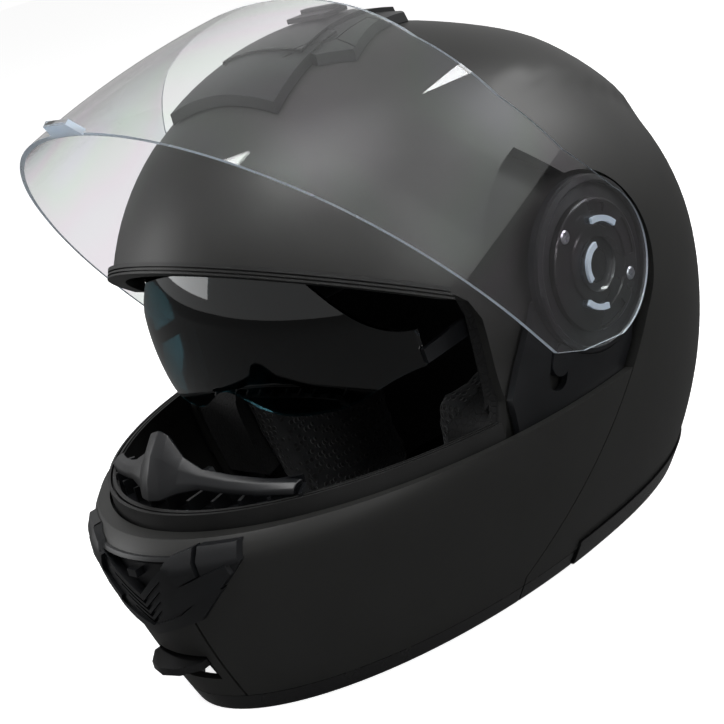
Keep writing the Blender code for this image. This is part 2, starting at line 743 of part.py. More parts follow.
def make_hook():
    """A jaw over the striker's pin, open along the path of the chin bar."""
    y, z = LATCH[0] - PIVOT[0], LATCH[1] - PIVOT[1]
    reach = math.hypot(y, z)
    along = (-z / reach, y / reach)
    if along[0] < 0:
        along = (z / reach, -y / reach)
    across = (-along[1], along[0])

    def place(a, b):
        return (LATCH[0] + along[0] * a + across[0] * b, LATCH[1] + along[1] * a + across[1] * b)

    slot = LATCH_PIN_RADIUS + 0.6
    jaw = [place(-8, -7), place(5, -7), place(5, -slot), place(-slot, -slot), place(-slot, slot),
           place(5, slot), place(5, 7), place(-8, 7)]
    hook = side_prism(jaw, *HOOK_X)
    h = HOOK_PIVOT
    stem = [(h[0] - 6, h[1]), place(-8, -2), place(-4, 6), (h[0] + 6, h[1] - 2), (h[0] + 4, h[1] + 6),
            (h[0] - 4, h[1] + 6)]
    join(hook, side_prism(stem, *HOOK_X))
    return cut(hook, rod(2.6, 60, 110, h, 16))


def make_hook_pin():
    return meet(rod(2.3, HOOK_X[0] - 3, 120, HOOK_PIVOT, 16), body(WALL + GAP))


# ---- retention strap ---------------------------------------------------------------------------
STRAP_WIDTH, STRAP_THICK = 20.0, 2.0
STRAP_ROUTE = [(80.0, 6.0, 17.5), (70.0, -6.0, 17.0), (60.0, -24.0, 12.5), (44.0, -40.0, 8.5),
               (24.0, -50.0, 6.3)]


def make_strap():
    """Webbing from the shell's side to the buckle, flat side up."""
    points, faces = [], []
    route = [Vector(p) for p in STRAP_ROUTE]
    last = len(route) - 1
    for i, p in enumerate(route):
        along = (route[min(i + 1, last)] - route[max(i - 1, 0)]).normalized()
        if i == last:
            along = Vector((-1, 0, 0))
        side = Vector((0, 0, 1)).cross(along).normalized()
        up = along.cross(side)
        for u, v in ((-1, -1), (1, -1), (1, 1), (-1, 1)):
            points.append(p + side * u * STRAP_WIDTH / 2 + up * v * STRAP_THICK / 2)
    for i in range(last):
        a = 4 * i
        faces += [(a + k, a + (k + 1) % 4, a + 4 + (k + 1) % 4, a + 4 + k) for k in range(4)]
    faces += [(3, 2, 1, 0), tuple(4 * last + k for k in range(4))]
    return curved_object("strap", points, faces)


BUCKLE_X = (-21.0, 21.0)
BUCKLE_Y = (-63.0, -37.0)
BUCKLE_Z = (2.0, 10.4)
TONGUE_Z = (5.4, 7.2)


def make_buckle():
    buckle = slab(BUCKLE_X, BUCKLE_Y, BUCKLE_Z)
    inner = (BUCKLE_Y[0] + 3, BUCKLE_Y[1] - 3)
    cut(buckle, slab((-16, 30), inner, (TONGUE_Z[0] - GAP, BUCKLE_Z[1] + 5)))
    return buckle


LEVER_AXIS = (-13.5, 10.1)      # x and z of the lever's hinge


def make_lever():
    span = (BUCKLE_Y[0] + 3.5, BUCKLE_Y[1] - 3.5)
    lever = slab((-15, 12), span, (9.0, 11.2))
    return join(lever, slab((9, 12), span, (10, 14)))


def make_lever_pin():
    pin = prism([(LEVER_AXIS[0] + 1.4 * math.cos(a), LEVER_AXIS[1] + 1.4 * math.sin(a))
                 for a in [math.pi * i / 6 for i in range(12)]], BUCKLE_Y[0] + 3.3, BUCKLE_Y[1] - 3.3, "Y")
    return pin


def make_tongue():
    span = (BUCKLE_Y[0] + 4, BUCKLE_Y[1] - 4)
    tongue = slab((-13, BUCKLE_X[1] + 3), span, TONGUE_Z)
    for i in range(5):
        x = -11 + 3.4 * i
        tooth = prism([(x, TONGUE_Z[1] - 0.2), (x + 2.6, TONGUE_Z[1] - 0.2), (x, 8.2)],
                      span[0] + 2, span[1] - 2, "Y")
        join(tongue, tooth)
    return tongue


def make_rivet():
    x, y, z = STRAP_ROUTE[0]
    return prism(arc((x, y), 3.6, 0, 360, 12)[:-1], z + STRAP_THICK / 2 + GAP, FOAM_FOOT_Z - GAP, "Z")


# ---- finishes ------------------------------------------------------------------------------------
FINISHES = {
    "matte_black_paint": ((0.018, 0.019, 0.021), 0.0, 0.55, 1.0),
    "black_plastic": ((0.012, 0.012, 0.013), 0.0, 0.5, 1.0),
    "gloss_plastic": ((0.010, 0.010, 0.011), 0.0, 0.25, 1.0),
    "seal_rubber": ((0.015, 0.015, 0.015), 0.0, 0.7, 1.0),
    "impact_foam": ((0.05, 0.05, 0.055), 0.0, 0.85, 1.0),
    "liner_fabric": ((0.03, 0.03, 0.032), 0.0, 0.95, 1.0),
    "clear_sheet": ((0.90, 0.94, 0.96), 0.0, 0.05, 0.35),
    "smoke_sheet": ((0.05, 0.10, 0.11), 0.0, 0.08, 0.5),
    "steel": ((0.55, 0.55, 0.56), 1.0, 0.35, 1.0),
    "webbing": ((0.02, 0.02, 0.02), 0.0, 0.9, 1.0),
}


def finish(obj, name, kind):
    colour, metal, rough, alpha = FINISHES[kind]
    material = bpy.data.materials.new(name + "_" + kind)
    material.use_nodes = True
    shader = next(n for n in material.node_tree.nodes if n.type == "BSDF_PRINCIPLED")
    shader.inputs["Base Color"].default_value = (*colour, 1)
    shader.inputs["Metallic"].default_value = metal
    shader.inputs["Roughness"].default_value = rough
    shader.inputs["Alpha"].default_value = alpha
    obj.data.materials.clear()
    obj.data.materials.append(material)


# ---- assembly ------------------------------------------------------------------------------------
HINGE = (0.0, *PIVOT)
SINGLE = [
    ("outer_shell", make_outer_shell, "matte_black_paint", None),
    ("impact_liner", make_impact_liner, "impact_foam", None),
    ("crown_liner", make_crown_liner, "liner_fabric", None),
    ("neck_roll", make_neck_roll, "gloss_plastic", None),
    ("brow_seal", make_brow_seal, "seal_rubber", None),
    ("top_vent_housing", make_top_vent, "black_plastic", None),
    ("top_vent_switch", make_top_switch, "black_plastic", (0, 0, HEIGHT + TOP_VENT_RISE)),
    ("rear_vent_cover", make_rear_vent, "black_plastic", None),
    ("clear_visor", make_visor, "clear_sheet", HINGE),
    ("sun_visor", make_sun_visor, "smoke_sheet", HINGE),
    ("sun_visor_lever", make_sun_lever, "black_plastic", (SUN_LEVER_X[1], -2, 4)),
    ("chin_bar_shell", make_chin_bar, "matte_black_paint", HINGE),
    ("chin_edge_trim", make_chin_trim, "gloss_plastic", HINGE),
    ("chin_foam", make_chin_foam, "impact_foam", HINGE),
    ("eyeport_gasket", make_gasket, "seal_rubber", HINGE),
    ("breath_deflector", make_deflector, "black_plastic", HINGE),
    ("chin_vent_frame", make_vent_frame, "black_plastic", HINGE),
    ("chin_vent_shutter", make_shutter, "black_plastic", (0, -182, 74)),
    ("chin_release_tab", make_release_tab, "black_plastic", (0, -175, 30)),
    ("buckle_body", make_buckle, "black_plastic", None),
    ("buckle_lever", make_lever, "steel", (LEVER_AXIS[0], -50, LEVER_AXIS[1])),
    ("ratchet_tongue", make_tongue, "black_plastic", None),
    ("chin_lock_slider", make_lock_slider, "black_plastic", (120, *LOCK_CENTRE)),
]
PAIRED = [
    ("cheek_pad", make_cheek_pad, "liner_fabric", None),
    ("edge_trim", make_edge_trim, "gloss_plastic", None),
    ("hinge_arm", make_arm, "black_plastic", HINGE),
    ("pivot_pin", make_pin, "steel", None),
    ("visor_mechanism", make_mechanism, "black_plastic", HINGE),
    ("visor_screw_front", lambda: make_screw(SCREW_ANGLES[0]), "steel", HINGE),
    ("visor_screw_rear", lambda: make_screw(SCREW_ANGLES[1]), "steel", HINGE),
    ("sun_visor_arm", make_sun_arm, "black_plastic", HINGE),
    ("sun_visor_pin", make_sun_pin, "steel", None),
    ("latch_striker", make_striker, "steel", None),
    ("latch_hook", make_hook, "steel", HINGE),
    ("hook_pin", make_hook_pin, "steel", HINGE),
    ("chin_strap", make_strap, "webbing", None),
    ("strap_rivet", make_rivet, "steel", None),
]


def settle(pieces):
    """Centres the whole helmet over the origin and puts each moving piece's origin on its axis."""
    points = np.array([tuple(v.co) for obj, _ in pieces for v in obj.data.vertices])
    low, high = points.min(axis=0), points.max(axis=0)
    shift = Vector((-(low[0] + high[0]) / 2, -(low[1] + high[1]) / 2, -low[2]))
    for obj, origin in pieces:
        start = Vector(origin) * MM + shift if origin else Vector((0, 0, 0))
        obj.data.transform(Matrix.Translation(shift - start))
        obj.location = start


def main():
    for obj in list(bpy.data.objects):
        bpy.data.objects.remove(obj, do_unlink=True)
    pieces = []
    for name, maker, kind, origin in SINGLE:
        obj = maker()
        obj.name = name
        finish(obj, name, kind)
        pieces.append((obj, origin))
    for name, maker, kind, origin in PAIRED:
        left = maker()
        left.name = name + "_left"
        right = mirrored(left, name + "_right")
        finish(left, name, kind)
        finish(right, name, kind)
        mirror = (-origin[0], *origin[1:]) if origin else None
        pieces += [(left, origin), (right, mirror)]
    settle(pieces)


main()
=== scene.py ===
"""Flip-up motorcycle helmet with its clear visor raised: the looks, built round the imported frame.

Lengths are in millimetres and become metres as each mesh is made.  +X is the wearer's left,
-Y is the front and +Z is up.  Shapes are drawn with the body's mid section at y = 3 and move
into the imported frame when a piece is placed.
"""
import json
import math

import bmesh
import bpy
import numpy as np
from mathutils import Matrix, Vector


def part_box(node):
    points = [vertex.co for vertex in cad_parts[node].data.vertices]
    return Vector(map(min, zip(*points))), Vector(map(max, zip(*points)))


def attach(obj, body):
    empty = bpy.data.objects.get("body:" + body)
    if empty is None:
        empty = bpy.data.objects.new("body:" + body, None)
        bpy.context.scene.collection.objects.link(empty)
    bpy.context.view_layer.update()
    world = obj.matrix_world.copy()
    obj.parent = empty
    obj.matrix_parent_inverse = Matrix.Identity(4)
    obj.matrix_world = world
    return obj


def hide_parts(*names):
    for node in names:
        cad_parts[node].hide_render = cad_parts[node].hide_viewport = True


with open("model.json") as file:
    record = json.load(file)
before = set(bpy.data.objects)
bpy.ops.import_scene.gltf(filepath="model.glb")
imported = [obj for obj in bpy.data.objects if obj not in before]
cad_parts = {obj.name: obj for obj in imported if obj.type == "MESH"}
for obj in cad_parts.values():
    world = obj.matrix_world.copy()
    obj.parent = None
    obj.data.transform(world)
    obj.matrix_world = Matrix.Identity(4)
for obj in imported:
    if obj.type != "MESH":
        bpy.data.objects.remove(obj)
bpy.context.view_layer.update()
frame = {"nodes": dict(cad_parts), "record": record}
BODY_OF = {node: body for body, nodes in frame["record"]["behaviour"]["bodies"].items() for node in nodes}

MM = 0.001

# ---- driving dimensions of the outer form ------------------------------------------------
SHOULDER_RISE = 3.0         # step of the crown panel over the sides
HALF_WIDTH = 128.0          # widest half breadth of the shell
BROW_REACH = 141.0          # front of the shell at its widest level
BACK_REACH = 157.0          # rear of the shell at its widest level
HEIGHT = 262.0              # rim to crown
WIDEST_Z = 122.0            # level of the widest section
SECTION_Y = 3.0             # every level section is centred on this y
CHIN_Z = 82.0               # level where the chin bar reaches furthest forward
CHIN_REACH = 187.0
RIM_FRONT = 169.0
RIM_BACK = 140.0
RIM_HALF_WIDTH = 86.0
DOME_POWER = (2.2, 2.23, 1.81)      # superellipse powers of the side, front and back profiles
FRONT_POWER = 1.95                  # plan powers of the front and back halves
BACK_POWER = 2.5

# ---- hinge, openings and parting lines, drawn in the side view (y, z) -----------------------
PIVOT = (6.0, 145.0)        # axis shared by the chin bar and the clear visor
BROW = (-124.0, 196.0)      # centre of the brow edge
BROW_FALL = 0.57            # fall of the brow edge for each mm rearwards
PORT_BACK_Y = -52.0         # rear edge of the eye opening
SHELL_FRONT_Y = -58.0       # front edge of the shell's side wings
CHIN_TOP_Z = 92.0           # top edge of the chin bar
TRIM_TOP_Z = 8.7            # top of the lower edge trims
SPLIT_FOOT = (-48.0, 14.0)  # foot of the parting line between chin bar and shell
SPLIT_LEAN = 0.82           # rearward lean of the parting line for each mm of height
NECK_ROLL_Y = -12.0         # the neck roll starts here and runs round the back
NECK_ROLL_TOP_Z = 13.5

# ---- walls and clearances -----------------------------------------------------------------------
WALL = 4.0                  # moulded shells
GAP = 0.3                   # between pieces that touch
SOFT_GAP = 0.7              # between a cushion and what it lies on
PARTING = 0.8               # open joints between painted shells
RECESS = 9.3                # depth of the side recess that the chin bar and its arms lie in
SPLIT_SLANT = math.hypot(SPLIT_LEAN, 1)
RECESS_RADIUS = ((PIVOT[1] - SPLIT_FOOT[1]) * SPLIT_LEAN - PIVOT[0] + SPLIT_FOOT[0]) / SPLIT_SLANT
SWEEP_RADIUS = 61.0         # the arms pass this far out above the eye opening
HUB_FLOOR_X = 117.4         # flat floor of the round hub pocket
ARM_WALL = 3.2
ARM_X = (118.2, 121.4)      # flat hub of a hinge arm
PLATE_X = (121.7, 124.6)    # visor mechanism on the hub
FOAM_DEPTH = 36.2           # outer surface to the inside of the impact foam
LINER_WALL = 8.0
PAD_WALL = 20.0
TRIM_WALL = 6.0

# ---- clear visor, drawn closed and then raised -----------------------------------------------
VISOR_WALL = 2.2
VISOR_RAISED = 51.6         # degrees above closed in the rest pose
VISOR_HALF_WIDTH = 127.6
VISOR_LOW = (-183.0, 94.0)  # centre of its lower edge, closed
VISOR_HIGH = (-124.5, 205.0)
VISOR_BULGE = 4.0
VISOR_CENTRE_Y = -20.0      # its sides are flat and level with the hub behind this y
VISOR_POWER = 2.05
VISOR_DISC_RADIUS = 35.0
VISOR_BOSS_RADIUS = 12.0

# ---- sun visor: a surface of revolution about the hinge axis -------------------------------------
SUN_RADIUS = 119.5
SUN_AXIS_LENGTH = 128.0
SUN_HALF_WIDTH = 91.5
SUN_WALL = 2.2
SUN_RAISE = 15.0            # degrees from lowered to stowed
SUN_POCKET = 3.2            # clearance of its pocket in the foam, each side
SUN_ARM_WALL = 2.2

PIN_RADIUS = 8.0
PIN_CLEARANCE = 0.3

AROUND = 144                # facets round the body
ROWS_LOW, ROWS_HIGH = 26, 30
BELOW = -30.0               # cutters run down to here


# ---- the outer form ------------------------------------------------------------------------------
def smooth(t):
    t = min(max(t, 0.0), 1.0)
    return t * t * (3 - 2 * t)


def lofted(t, power):
    return (1 - t**power) ** (1 / power)


def level_section(z, chinless=False):
    """Half width, front reach and back reach of the body at height z."""
    low = max(z, 0.0)
    front, back = BROW_REACH + SECTION_Y, BACK_REACH - SECTION_Y
    if low >= WIDEST_Z:
        t = min((low - WIDEST_Z) / (HEIGHT - WIDEST_Z), 1.0)
        side_power, front_power, back_power = DOME_POWER
        return (HALF_WIDTH * lofted(t, side_power), front * lofted(t, front_power),
                back * lofted(t, back_power))
    s = 1 - low / WIDEST_Z
    width = HALF_WIDTH - (HALF_WIDTH - RIM_HALF_WIDTH) * s**2
    rear = back - (back - (RIM_BACK - SECTION_Y)) * s**1.8
    if chinless:
        return width, front, rear
    chin = CHIN_REACH + SECTION_Y
    if low >= CHIN_Z:
        return width, front + (chin - front) * smooth((WIDEST_Z - low) / (WIDEST_Z - CHIN_Z)), rear
    fall = (1 - low / CHIN_Z) ** 1.6
    return width, chin - (chin - RIM_FRONT - SECTION_Y) * fall, rear


def signed_power(value, power):
    return math.copysign(abs(value) ** power, value)


def shoulder(p):
    """How far the crown's rear panel stands above the shell's sides: it ends in a soft crease."""
    crease = 224 - 0.0033 * max(p.y, 0) ** 2
    reach = smooth((p.z - crease + 4) / 12) * (1 - smooth((p.z - 228) / 26))
    return SHOULDER_RISE * reach * smooth((p.y + 10) / 40) * smooth((p.z - 165) / 25)


def surface_point(angle, z, chinless=False):
    """A point of the outer form: angle 0 is the front and grows towards +X."""
    width, front, back = level_section(z, chinless)
    c, s = math.cos(angle), math.sin(angle)
    power = FRONT_POWER if c > 0 else BACK_POWER
    reach = front if c > 0 else back
    p = Vector((width * signed_power(s, 2 / power), SECTION_Y - reach * signed_power(c, 2 / power), z))
    return p if chinless else p + (p - Vector((0, SECTION_Y, 120))).normalized() * shoulder(p)


def body_levels(step):
    low = [WIDEST_Z * i / ROWS_LOW for i in range(0, ROWS_LOW, step)]
    high = [WIDEST_Z + (HEIGHT - WIDEST_Z) * math.sin(math.pi / 2 * i / ROWS_HIGH)
            for i in range(0, ROWS_HIGH, step)]
    return low + high


# ---- Blender helpers ---------------------------------------------------------------------------
def mesh_object(name, points, faces):
    mesh = bpy.data.meshes.new(name)
    mesh.from_pydata([Vector(p) * MM for p in points], [], faces)
    obj = bpy.data.objects.new(name, mesh)
    bpy.context.scene.collection.objects.link(obj)
    return obj


def curved_object(name, points, faces):
    """A mesh whose quads may be twisted, so each is split into two flat triangles."""
    flat = []
    for face in faces:
        flat += [face] if len(face) != 4 else [face[:3], (face[0], face[2], face[3])]
    return mesh_object(name, points, flat)


def combine(first, second, operation, keep=False):
    """Boolean of two objects, applied to the first; the second is removed unless it is kept."""
    modifier = first.modifiers.new(operation.title(), "BOOLEAN")
    modifier.object, modifier.operation, modifier.solver = second, operation, "EXACT"
    bpy.context.view_layer.update()
    evaluated = first.evaluated_get(bpy.context.evaluated_depsgraph_get())
    made = bpy.data.meshes.new_from_object(evaluated)
    first.modifiers.clear()
    first.data = made
    if not keep:
        bpy.data.objects.remove(second)
    return first


def cut(first, second, keep=False):
    return combine(first, second, "DIFFERENCE", keep)


def meet(first, second, keep=False):
    return combine(first, second, "INTERSECT", keep)


def join(first, second, keep=False):
    return combine(first, second, "UNION", keep)


def mirrored(obj, name):
    """The right-hand twin of a left-hand piece."""
    points = [Vector((-v.co.x, v.co.y, v.co.z)) / MM for v in obj.data.vertices]
    faces = [tuple(reversed(p.vertices)) for p in obj.data.polygons]
    return mesh_object(name, points, faces)


def surface_normal(angle, z, chinless=False):
    h = 0.05
    level = min(max(z, 0.01), HEIGHT - 1)
    high, low = min(level + 1, HEIGHT - 0.5), max(level - 1, 0.0)
    along = surface_point(angle + h, level, chinless) - surface_point(angle - h, level, chinless)
    up = surface_point(angle, high, chinless) - surface_point(angle, low, chinless)
    return along.cross(up).normalized()


def wall_point(angle, z, depth):
    """The plan point at height z that lies depth under the outer form."""
    n = surface_normal(angle, z)
    p = surface_point(angle, z)
    flat = n.x * n.x + n.y * n.y
    return p.x - n.x / flat * depth, p.y - n.y / flat * depth


def body(offset, step=1, low=None, name="body", chinless=False):
    """The outer form moved inwards by offset, with a straight column below it or cut off at low.

    The head side of the lining is chinless: it drops straight from the brow to the rim.
    """
    count = AROUND // step
    points, faces = [], []
    levels = [BELOW] + body_levels(step)
    for z in levels:
        for k in range(count):
            a = 2 * math.pi * k / count
            q = surface_point(a, max(z, 0.01), chinless) - surface_normal(a, z, chinless) * offset
            points.append((q.x, q.y, q.z if z > BELOW else z))
    crown = len(points)
    points.append((0, SECTION_Y, HEIGHT - offset))
    rows = len(levels)
    for r in range(rows - 1):
        for k in range(count):
            a, b = r * count + k, r * count + (k + 1) % count
            faces.append((a, b, b + count, a + count))
    top = (rows - 1) * count
    faces += [(top + k, top + (k + 1) % count, crown) for k in range(count)]
    faces.append(tuple(reversed(range(count))))
    solid = curved_object(name, points, faces)
    return solid if low is None else cut(solid, slab((-300, 300), (-300, 300), (BELOW - 20, low)))


def prism(outline, low, high, axis, name="prism"):
    """A polygon extruded along an axis: X takes (y, z), Y takes (x, z), Z takes (x, y)."""
    area = sum(a[0] * b[1] - b[0] * a[1] for a, b in zip(outline, outline[1:] + outline[:1]))
    ring = outline if area > 0 else list(reversed(outline))
    place = {"X": lambda p, d: (d, p[0], p[1]), "Y": lambda p, d: (p[0], d, p[1]),
             "Z": lambda p, d: (p[0], p[1], d)}[axis]
    n = len(ring)
    points = [place(p, low) for p in ring] + [place(p, high) for p in ring]
    faces = [tuple(reversed(range(n))), tuple(range(n, 2 * n))]
    faces += [(i, (i + 1) % n, n + (i + 1) % n, n + i) for i in range(n)]
    if axis == "Y":
        faces = [tuple(reversed(f)) for f in faces]
    return mesh_object(name, points, faces)


def side_prism(outline, low=-200.0, high=200.0):
    return prism(outline, low, high, "X")


def slab(x, y, z):
    return prism([(y[0], z[0]), (y[1], z[0]), (y[1], z[1]), (y[0], z[1])], x[0], x[1], "X")


def arc(centre, radius, start, end, count):
    """Points of a circle in the side view; angles in degrees, 0 forwards and 90 up."""
    return [(centre[0] - radius * math.cos(math.radians(start + (end - start) * i / count)),
             centre[1] + radius * math.sin(math.radians(start + (end - start) * i / count)))
            for i in range(count + 1)]


def rod(radius, low, high, centre=PIVOT, count=24):
    """A round bar along X."""
    return side_prism(arc(centre, radius, 0, 360, count)[:-1], low, high)


def skin(outer, inner, step=1):
    return cut(body(outer, step), body(inner, step))


# ---- outlines in the side view -------------------------------------------------------------------
def brow_z(y, drop=0.0):
    return BROW[1] - BROW_FALL * (y - BROW[0]) - drop


def split_y(z):
    return SPLIT_FOOT[0] + SPLIT_LEAN * max(z - SPLIT_FOOT[1], 0.0)


def front_opening(back=0.0, drop=0.0):
    """All that is open when the chin bar is away."""
    edge = PORT_BACK_Y + back
    wing = SHELL_FRONT_Y + back
    return [(-260, brow_z(-260, drop)), (edge - 12, brow_z(edge - 12, drop)),
            (edge - 3, brow_z(edge, drop + 3)), (edge, brow_z(edge, drop + 12)),
            (edge - 1, 105), (wing, CHIN_TOP_Z - 4), (wing, BELOW - 20), (-260, BELOW - 20)]


def arm_recess(grow=0.0):
    """The side area where the hinge arms lie: the parting line runs into the hub's circle."""
    meeting = math.degrees(math.atan(SPLIT_LEAN)) - 180
    turn = arc(PIVOT, RECESS_RADIUS + grow, meeting, -268, 60)
    turn += arc(PIVOT, SWEEP_RADIUS + grow, -285, -335, 24)
    foot = SPLIT_FOOT[0] + grow
    front = SHELL_FRONT_Y - 8
    return [(front, BELOW - 20), (foot, BELOW - 20), (foot, SPLIT_FOOT[1])] + turn + [
        (front, brow_z(front, -grow))]


def chin_outline(top, foot, back=PARTING):
    bend = SPLIT_FOOT[1]
    return [(-260, top), (split_y(top) - back, top), (split_y(bend) - back, bend),
            (split_y(bend) - back, foot), (-260, foot)]


# ---- pieces of the shell ------------------------------------------------------------------------
def make_outer_shell():
    shell = body(0, low=TRIM_TOP_Z + GAP, name="outer_shell")
    rear = [(NECK_ROLL_Y - GAP, -10), (200, -10), (200, NECK_ROLL_TOP_Z + GAP),
            (NECK_ROLL_Y - GAP, NECK_ROLL_TOP_Z + GAP)]
    cut(shell, side_prism(rear))
    cut(shell, side_prism(front_opening()))
    recess = cut(side_prism(arm_recess()), body(RECESS))
    inside = join(cut(body(WALL), side_prism(arm_recess(WALL))), body(RECESS + WALL))
    for side in (-1, 1):
        join(recess, rod(RECESS_RADIUS + 0.6, *sorted((side * HUB_FLOOR_X, side * 203)), count=120))
        join(inside, rod(PIN_RADIUS + GAP, *sorted((side * 100, side * 135))))
    return cut(cut(shell, recess), inside)


def sun_radius(x):
    return SUN_RADIUS * math.sqrt(1 - (x / SUN_AXIS_LENGTH) ** 2)


def sun_edges(x):
    """Lower and upper edge angles of the lowered sun visor, in degrees."""
    t = abs(x) / SUN_HALF_WIDTH
    nose = math.exp(-(x / 20) ** 2)
    return -14.5 + 7 * nose + 5 * smooth((t - 0.6) / 0.4), 22 - 20 * smooth((t - 0.4) / 0.6)


def revolved(half_width, outer, inner, edges, across, up, name="revolved"):
    """A curved wall turned about the hinge axis, between two offsets of the sun visor's radius."""
    points, faces = [], []
    for layer in (outer, inner):
        for i in range(across + 1):
            x = half_width * (2 * i / across - 1)
            low, high = edges(x)
            for j in range(up + 1):
                a = math.radians(low + (high - low) * j / up)
                r = sun_radius(x) + layer
                points.append((x, PIVOT[0] - r * math.cos(a), PIVOT[1] + r * math.sin(a)))
    n, size = up + 1, (across + 1) * (up + 1)
    for i in range(across):
        for j in range(up):
            a, b = i * n + j, (i + 1) * n + j
            faces.append((a, b, b + 1, a + 1))
            faces.append((size + a, size + a + 1, size + b + 1, size + b))
    for j in range(up):
        end = across * n + j
        faces.append((j, j + 1, size + j + 1, size + j))
        faces.append((end + 1, end, size + end, size + end + 1))
    for i in range(across):
        a, b = i * n, (i + 1) * n
        faces.append((b, a, size + a, size + b))
        faces.append((a + up, b + up, size + b + up, size + a + up))
    return curved_object(name, points, faces)


SUN_ARM_X = (SUN_HALF_WIDTH + GAP, SUN_HALF_WIDTH + GAP + SUN_ARM_WALL)
FOAM_FOOT_Z = 22.0


def without_offcuts(obj):
    """Keeps only the largest of a mesh's separate bodies."""
    form = bmesh.new()
    form.from_mesh(obj.data)
    left, groups = set(form.verts), []
    while left:
        queue = [left.pop()]
        group = set(queue)
        while queue:
            for edge in queue.pop().link_edges:
                fresh = set(edge.verts) & left
                left -= fresh
                group |= fresh
                queue += fresh
        groups.append(group)
    groups.sort(key=len)
    for group in groups[:-1]:
        bmesh.ops.delete(form, geom=list(group), context="VERTS")
    form.to_mesh(obj.data)
    form.free()
    return obj


def sun_visor_room():
    """All that the sun visor, its arms and their pins pass through."""
    low, high = -40, 24 + SUN_RAISE
    room = revolved(SUN_HALF_WIDTH + 6, SUN_POCKET, -SUN_WALL - SUN_POCKET,
                    lambda x: (low, high - 14 * smooth((abs(x) - 45) / 50)), 14, 6)
    swing = [(PIVOT[0] + 14, PIVOT[1])] + arc(PIVOT, sun_radius(SUN_HALF_WIDTH) + 8, low, high, 6)
    for side in (-1, 1):
        join(room, side_prism(swing, *sorted((side * (SUN_HALF_WIDTH - 40), side * (SUN_ARM_X[1] + 1)))))
        join(room, rod(18, *sorted((side * 60, side * HUB_FLOOR_X)), count=12))
    return room


def make_impact_liner():
    foam = body(WALL + GAP, 2, low=FOAM_FOOT_Z, name="impact_liner")
    opening = front_opening(2, -1)
    wing, notch = SHELL_FRONT_Y + 2, LATCH[0] + 30
    low, high = LATCH[1] - 13, LATCH[1] + 13
    opening[-2:-2] = [(wing, high), (notch, high), (notch, low), (wing, low)]
    cut(foam, side_prism(opening))
    cut(foam, cut(side_prism(arm_recess(WALL + 2)), body(RECESS + WALL + GAP)))
    cut(foam, body(FOAM_DEPTH, 2, chinless=True))
    return without_offcuts(cut(foam, sun_visor_room()))


def make_crown_liner():
    liner = body(FOAM_DEPTH + SOFT_GAP, 2, low=112, name="crown_liner", chinless=True)
    cut(liner, body(FOAM_DEPTH + LINER_WALL, 2, chinless=True))
    cut(liner, side_prism(front_opening(26, -2)))
    return liner


def make_cheek_pad():
    outline = [(-47, 98), (-20, 108), (24, 106), (36, 70), (22, 28), (-20, 24), (-44, 40)]
    pad = side_prism(outline, 10, 200)
    meet(pad, body(FOAM_DEPTH + SOFT_GAP, 2, chinless=True))
    cut(pad, body(FOAM_DEPTH + PAD_WALL, 2, chinless=True))
    return pad


def make_neck_roll():
    roll = body(-1.2, low=0)
    cut(roll, body(10))
    cut(roll, side_prism([(-260, -5), (NECK_ROLL_Y, -5), (NECK_ROLL_Y, 300), (-260, 300)]))
    cut(roll, slab((-200, 200), (-260, 260), (NECK_ROLL_TOP_Z, 300)))
    return roll


def make_edge_trim():
    trim = cut(body(0, low=0), body(TRIM_WALL))
    return meet(trim, slab((10, 200), (SPLIT_FOOT[0], NECK_ROLL_Y - PARTING), (-5, TRIM_TOP_Z)))


def make_brow_seal():
    back = PORT_BACK_Y - 16
    seal = cut(body(-2.4), body(TRIM_WALL))
    return meet(seal, side_prism([(-200, brow_z(-200, GAP)), (back, brow_z(back, GAP)),
                                  (back, brow_z(back, 6)), (-200, brow_z(-200, 6))]))


TOP_VENT = [(-52, -30), (-38, -42), (38, -42), (52, -30), (42, 0), (36, 30), (24, 40),
            (-24, 40), (-36, 30), (-42, 0)]
TOP_VENT_RISE = 6.5


def make_top_switch():
    low = HEIGHT + TOP_VENT_RISE + GAP
    switch = slab((-13, 13), (-6, 9), (low, low + 2.2))
    return join(switch, slab((-13, 13), (4, 8), (low + 1, low + 4)))


REAR_VENT = [(-34, 150), (34, 150), (26, 194), (-26, 194)]


# ---- hinge hardware, left side --------------------------------------------------------------
ARM_DEPTH = WALL + GAP
LOCK_CENTRE = (-27.0, 111.0)
LOCK_AXIS = (-0.4, -0.917)
SCREW_ANGLES = (48, 210)
SCREW_RING = 25.0
HEAD_RADIUS = 3.0


def pill(centre, axis, half_length, radius):
    """A slot with round ends in the side view."""
    ends = []
    for sign in (1, -1):
        cy = centre[0] + axis[0] * (half_length - radius) * sign
        cz = centre[1] + axis[1] * (half_length - radius) * sign
        start = math.atan2(axis[1] * sign, axis[0] * sign) - math.pi / 2
        ends += [(cy + radius * math.cos(start + math.pi * i / 8),
                  cz + radius * math.sin(start + math.pi * i / 8)) for i in range(9)]
    return ends


def layer(depth, thickness):
    return cut(body(depth), body(depth + thickness))


def make_arm():
    low, high = CHIN_TOP_Z - 30, 150.0
    web = [(PORT_BACK_Y - 4, low), (split_y(low) - 2, low), (split_y(CHIN_TOP_Z + 10) - 2, CHIN_TOP_Z + 10),
           (30, 122), (0, high), (PORT_BACK_Y + 20, high - 8), (PORT_BACK_Y - 2, CHIN_TOP_Z + 14)]
    arm = meet(side_prism(web, 60, 200), layer(ARM_DEPTH, ARM_WALL))
    cut(arm, rod(RECESS_RADIUS - 2, ARM_X[1], 200, count=120))
    join(arm, rod(RECESS_RADIUS - 2, *ARM_X, count=120))
    cut(arm, rod(PIN_RADIUS + PIN_CLEARANCE, 60, 200))
    return cut(arm, side_prism(pill(LOCK_CENTRE, LOCK_AXIS, 11, 5), 60, 200))


